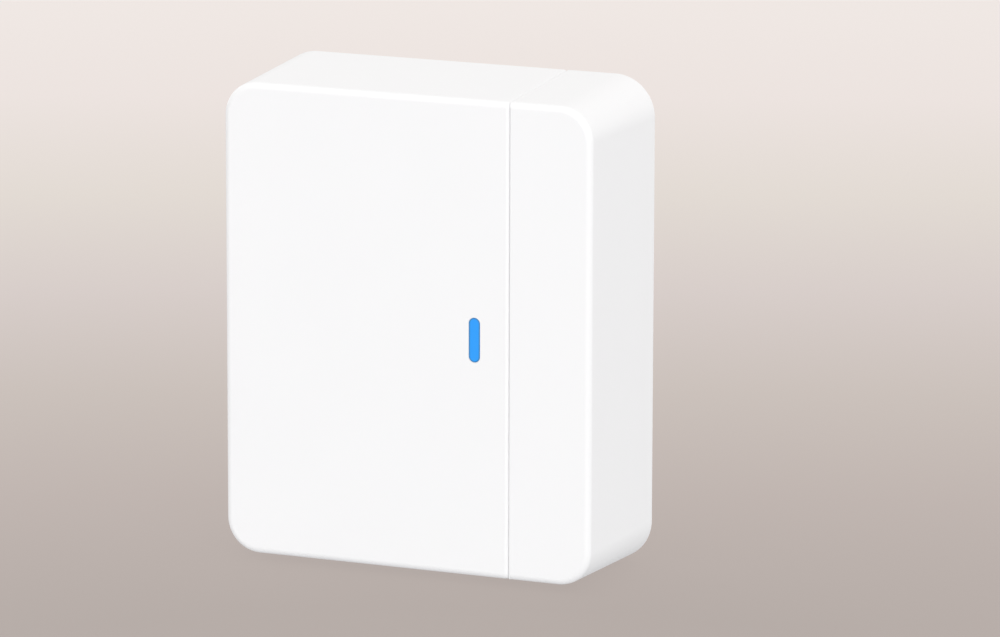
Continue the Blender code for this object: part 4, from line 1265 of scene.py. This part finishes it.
blue_mask = masked_board("blue_masked_glass_epoxy", "#12305F", LAMINATE)
module = slab("radio_board", module_box, module_front, board_face - 0.05 * MM)
round_corners(module, 0.5 * MM, 5)
bite_half_holes(module)
hand_over(module, blue_mask, "sensor_base", "module_board", "radio_module_board")

joints, lands = [], []
for x, sign, z in half_holes:
    wide, narrow = HALF_HOLE_RADIUS * 1.25, HALF_HOLE_RADIUS * 0.55
    joints.append(disc("joint", x, z, module_front + 0.2 * MM, board_face, wide, 16, narrow))
    near = (x + sign * 0.9 * MM, module_front - 0.02 * MM, z - 0.36 * MM)
    far = (x + sign * 0.02 * MM, module_front + 0.1 * MM, z + 0.36 * MM)
    land = block("land", near, far)
    round_edges(land, 0.3 * MM, 4, lambda e: along(e, "Y") and (e.verts[0].co.x - x) * sign > 0.5 * MM)
    lands.append(land)
joints = merge("module_solder", joints)
round_front(joints, 0.12 * MM, 3)
hand_over(joints, solder, "sensor_base", "steel")
lands = merge("module_lands", lands)
bite_half_holes(lands)
hand_over(lands, gold, "sensor_base", "copper")

tinned = plated_metal("tinned_steel", "#CFD0CF", 0.26, 1.2, 1.0, 0.004)
shield = slab("shield_can_shell", can_box, can_low.y, module_front)
round_corners(shield, 0.6 * MM, 6)
round_front(shield, 0.3 * MM, 4)
can_dish = (can_low.y - CAN_DISH, can_low.y + CAN_DISH, CAN_BORDER, CAN_BORDER)
dish = slab("dish", can_box, *can_dish)
round_corners(dish, 0.8 * MM, 6)
round_back(dish, CAN_DISH * 0.9, 2)
cut(shield, dish)
can_middle = (can_low + can_high) / 2
holes = []
for column in (-1, 0, 1):
    for row in (-1, 1):
        at = (can_middle.x + column * 2.4 * MM, can_low.y, can_middle.z + row * 1.7 * MM)
        holes.append(drum("hole", at, CAN_HOLE_RADIUS, 2.4 * MM, 24))
cut(shield, merge("holes", holes))
slots = []
for x in (can_low.x, can_high.x):
    for z in (can_middle.z - 2.8 * MM, can_middle.z + 2.8 * MM):
        low = (x - 0.12 * MM, can_low.y + 0.5 * MM, z - 0.12 * MM)
        high = (x + 0.12 * MM, module_front + 0.5 * MM, z + 0.12 * MM)
        slots.append(block("slot", low, high))
cut(shield, merge("slots", slots))
hand_over(shield, tinned, "sensor_base", "steel", "shield_can")

step = (aerial_high.x - aerial_low.x - AERIAL_WIDTH) / (2 * AERIAL_FOLDS)
x = aerial_low.x + AERIAL_WIDTH / 2
ends = (aerial_low.z + AERIAL_WIDTH / 2, aerial_high.z - AERIAL_WIDTH / 2)
run = [(x, 0.0, can_high.z + 0.1 * MM), (x, 0.0, ends[1])]
for fold in range(2 * AERIAL_FOLDS):
    x += step
    run += [(x, 0.0, ends[(fold + 1) % 2]), (x, 0.0, ends[fold % 2])]
points = [(p.x, p.z) for p in soften(run[:-1], 0.12 * MM, 2)]
aerial = flat_line("module_aerial", points, AERIAL_WIDTH, 0.03 * MM, module_front)
hand_over(aerial, gold, "sensor_base", "copper", "module_antenna")


# --- Pairing switch -------------------------------------------------------------------------------
# A push switch: a black nylon base with four bent pins, a steel plate held by four peened posts,
# and a grey acetal button that drops a quarter of a millimetre when pressed.

PLATE_STEEL = 0.3 * MM
BUTTON_SLACK = 0.15 * MM
POST_OUT = 1.75 * MM
POST_RADIUS = 0.3 * MM
PIN_OUT = 1.5 * MM
PIN_RADIUS = 0.09 * MM

switch_low, switch_high = switch_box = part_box("pairing_switch_body")
button_low, button_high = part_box("pairing_button")
switch_x, switch_z = centre(switch_box)
button_radius = (button_high.x - button_low.x) / 2
plate_middle = switch_low.y + PLATE_STEEL / 2
corners = [(switch_x + x * POST_OUT, switch_z + z * POST_OUT) for x in (-1, 1) for z in (-1, 1)]

nylon_front = switch_low.y + PLATE_STEEL
body = slab("switch_base", switch_box, nylon_front, board_face, 0.1 * MM, 0.1 * MM)
round_corners(body, 0.4 * MM, 4)
well_back = button_high.y + 0.55 * MM
well_radius = button_radius + BUTTON_SLACK
cut(body, disc("well", switch_x, switch_z, well_back - 4.0 * MM, well_back, well_radius))
posts = [body]
for x, z in corners:
    post = drum("post", (x, plate_middle, z), POST_RADIUS, PLATE_STEEL + 0.1 * MM, 24)
    round_edges(post, 0.08 * MM, 3, lambda e: not along(e, "Y"))
    posts.append(post)
body = merge("switch_base", posts)
hand_over(body, black_nylon, "sensor_base", "black_plastic", "pairing_switch_body")

face_plate = slab("switch_face_plate", switch_box, switch_low.y, nylon_front)
round_corners(face_plate, 0.45 * MM, 5)
round_front(face_plate, 0.08 * MM, 3)
cut(face_plate, drum("opening", (switch_x, switch_low.y, switch_z), well_radius, 2 * MM))
for x, z in corners:
    cut(face_plate, drum("opening", (x, switch_low.y, z), POST_RADIUS, 2 * MM, 24))
hand_over(face_plate, tinned, "sensor_base", "steel")

pins = []
for sign, side in ((-1, 2 * switch_x - switch_high.x), (1, switch_high.x)):
    for z in (switch_z - PIN_OUT, switch_z + PIN_OUT):
        path = (
            (side - sign * 0.3 * MM, board_face - 0.9 * MM, z),
            (side + sign * 0.25 * MM, board_face - 0.9 * MM, z),
            (side + sign * 0.35 * MM, board_face - 0.12 * MM, z),
            (side + sign * 0.95 * MM, board_face - 0.12 * MM, z),
        )
        pin = line("pin", soften(path, 0.15 * MM, 3), PIN_RADIUS)
        pin.scale = (1.0, 1.0, 3.2)
        pin.location = (0.0, 0.0, -2.2 * z)
        pins.append(settle(pin))
        foot = (side + sign * 0.7 * MM, z, board_face - 0.08 * MM, board_face)
        pins.append(disc("fillet", *foot, 0.48 * MM, 24, 0.36 * MM))
hand_over(merge("switch_pins", pins), solder, "sensor_base", "steel")

grey_acetal = moulded_plastic("grey_acetal", "#77787B", 0.42, 0.3, 0.004)
button_size = (button_low.y, button_high.y, button_radius, 64)
button = disc("pairing_button_cap", switch_x, switch_z, *button_size)
round_front(button, 0.18 * MM, 4)
inset_front(button, (0.15 * MM, 0.0), (0.25 * MM, -0.06 * MM), least=1 * MM * MM)
hand_over(button, grey_acetal, "pairing_button", "grey_plastic", "pairing_button")


# --- Reservoir capacitor --------------------------------------------------------------------------
# A tantalum capacitor moulded in amber epoxy with a darker band at its positive end. Its two
# tinned contacts are folded under its ends.

BAND_WIDTH = 0.7 * MM
tank_low, tank_high = tank_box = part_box("reservoir_capacitor")
tank_middle = (tank_low + tank_high) / 2

amber, tree, shader, place = new_material("amber_moulded_epoxy")
split = add_node(tree, "SeparateXYZ", {"Vector": place["Object"]})
band = maths(tree, "GREATER_THAN", split["X"], tank_low.x + BAND_WIDTH)
grain = noise(tree, place["Object"], 0.3 * MM, 3.0)
shades = colour_ramp(tree, band, (0.0, linear("#6A3A12")), (1.0, linear("#D08A2B")))
feed(shader, {"Base Color": shades, "Roughness": spread(tree, grain, 0.4, 0.6)})
feed(shader, {"Normal": relief(tree, grain, 0.3, 0.01 * MM)})

tank = slab("reservoir_body", tank_box, tank_low.y, board_face - 0.1 * MM)
scale_points(tank, (0.95, 1.0, 0.93), tank_middle, lambda v: v.co.y < tank_low.y + TOUCH)
round_edges(tank, 0.12 * MM, 3)
hand_over(tank, amber, "sensor_base", "tantalum", "reservoir_capacitor")
feet = []
low, high = tank_middle.z - 0.9 * MM, tank_middle.z + 0.9 * MM
for x, sign in ((tank_low.x, -1), (tank_high.x, 1)):
    near = (x - sign * 0.5 * MM, tank_middle.y, low)
    foot = block("foot", near, (x + sign * 0.12 * MM, board_face, high))
    round_edges(foot, 0.1 * MM, 3, lambda e: along(e, "Z"))
    far = (x + sign * 0.5 * MM, board_face - 0.5 * MM, high + 0.1 * MM)
    feet += [foot, wedge((x, board_face, low - 0.1 * MM), far, 0, 0.45 * MM)]
hand_over(merge("reservoir_contacts", feet), solder, "sensor_base", "steel")


# --- Chip capacitors and resistors ----------------------------------------------------------------
# Three ceramic capacitors with tan bodies, then three resistors: white alumina with a black glaze
# over the film on top. All have tinned ends soldered to the board.

FILM_SETBACK = 0.22 * MM
tan_ceramic = moulded_plastic("tan_fired_ceramic", "#A98B66", 0.45, 0.15, 0.006)
black_glaze = moulded_plastic("black_resistor_glaze", "#1C1C1F", 0.25, 0.3, 0.004)
chip_back = board_face - 0.06 * MM
for number in (1, 2, 3):
    node = "chip_capacitor_%d" % number
    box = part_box(node)
    front = box[0].y
    body = slab(node + "_ceramic", box, front, chip_back)
    round_edges(body, 0.07 * MM, 3)
    hand_over(body, tan_ceramic, "sensor_base", "chip", node)
    ends = end_caps(node + "_ends", box, front, 0.36 * MM, 0.025 * MM)
    hand_over(ends, solder, "sensor_base", "steel")
for number in (1, 2, 3):
    node = "chip_resistor_%d" % number
    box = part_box(node)
    front = box[0].y + FILM_SETBACK
    body = slab(node + "_alumina", box, front, chip_back)
    round_edges(body, 0.03 * MM, 2)
    hand_over(body, alumina, "sensor_base", "resistor", node)
    glaze = slab(node + "_glaze", box, front - 0.05 * MM, front + 0.02 * MM, 0.06 * MM, 0.3 * MM)
    round_edges(glaze, 0.02 * MM, 2)
    hand_over(glaze, black_glaze, "sensor_base", "resistor")
    ends = end_caps(node + "_ends", box, front, 0.3 * MM, 0.02 * MM)
    hand_over(ends, solder, "sensor_base", "steel")


# --- Magnet and its bed ---------------------------------------------------------------------------
# A sintered neodymium bar, ground on its flats, chamfered and nickel plated. It lies on a strip of
# black foam that keeps it from rattling.

bright_nickel = plated_metal("bright_nickel_plate", "#CDCAC2", 0.16, 0.8, 3.0, 0.003)
magnet = block("magnet_bar", magnet_low, magnet_high)
round_edges(magnet, 0.35 * MM, 4)
hand_over(magnet, bright_nickel, "magnet_unit", "nickel", "bar_magnet")

bed_foam = foam("black_rubber_foam", "#37383B", 0.35)
bed_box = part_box("magnet_foam_bed")
bed_middle = (bed_box[0] + bed_box[1]) / 2
bed = slab("magnet_bed", bed_box, magnet_high.y, plate_back - PLATE_THICK)
divide(bed, 3)
scale_points(bed, (1.03, 1.0, 1.01), bed_middle, lambda v: abs(v.co.y - bed_middle.y) < 0.2 * MM)
hand_over(bed, bed_foam, "magnet_unit", "bed_foam", "magnet_foam_bed")


# --- Size -----------------------------------------------------------------------------------------
# The whole object's box in this model. The CAD's box was taken before the build, as cad_low and
# cad_high.

bpy.context.view_layer.update()
low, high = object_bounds()
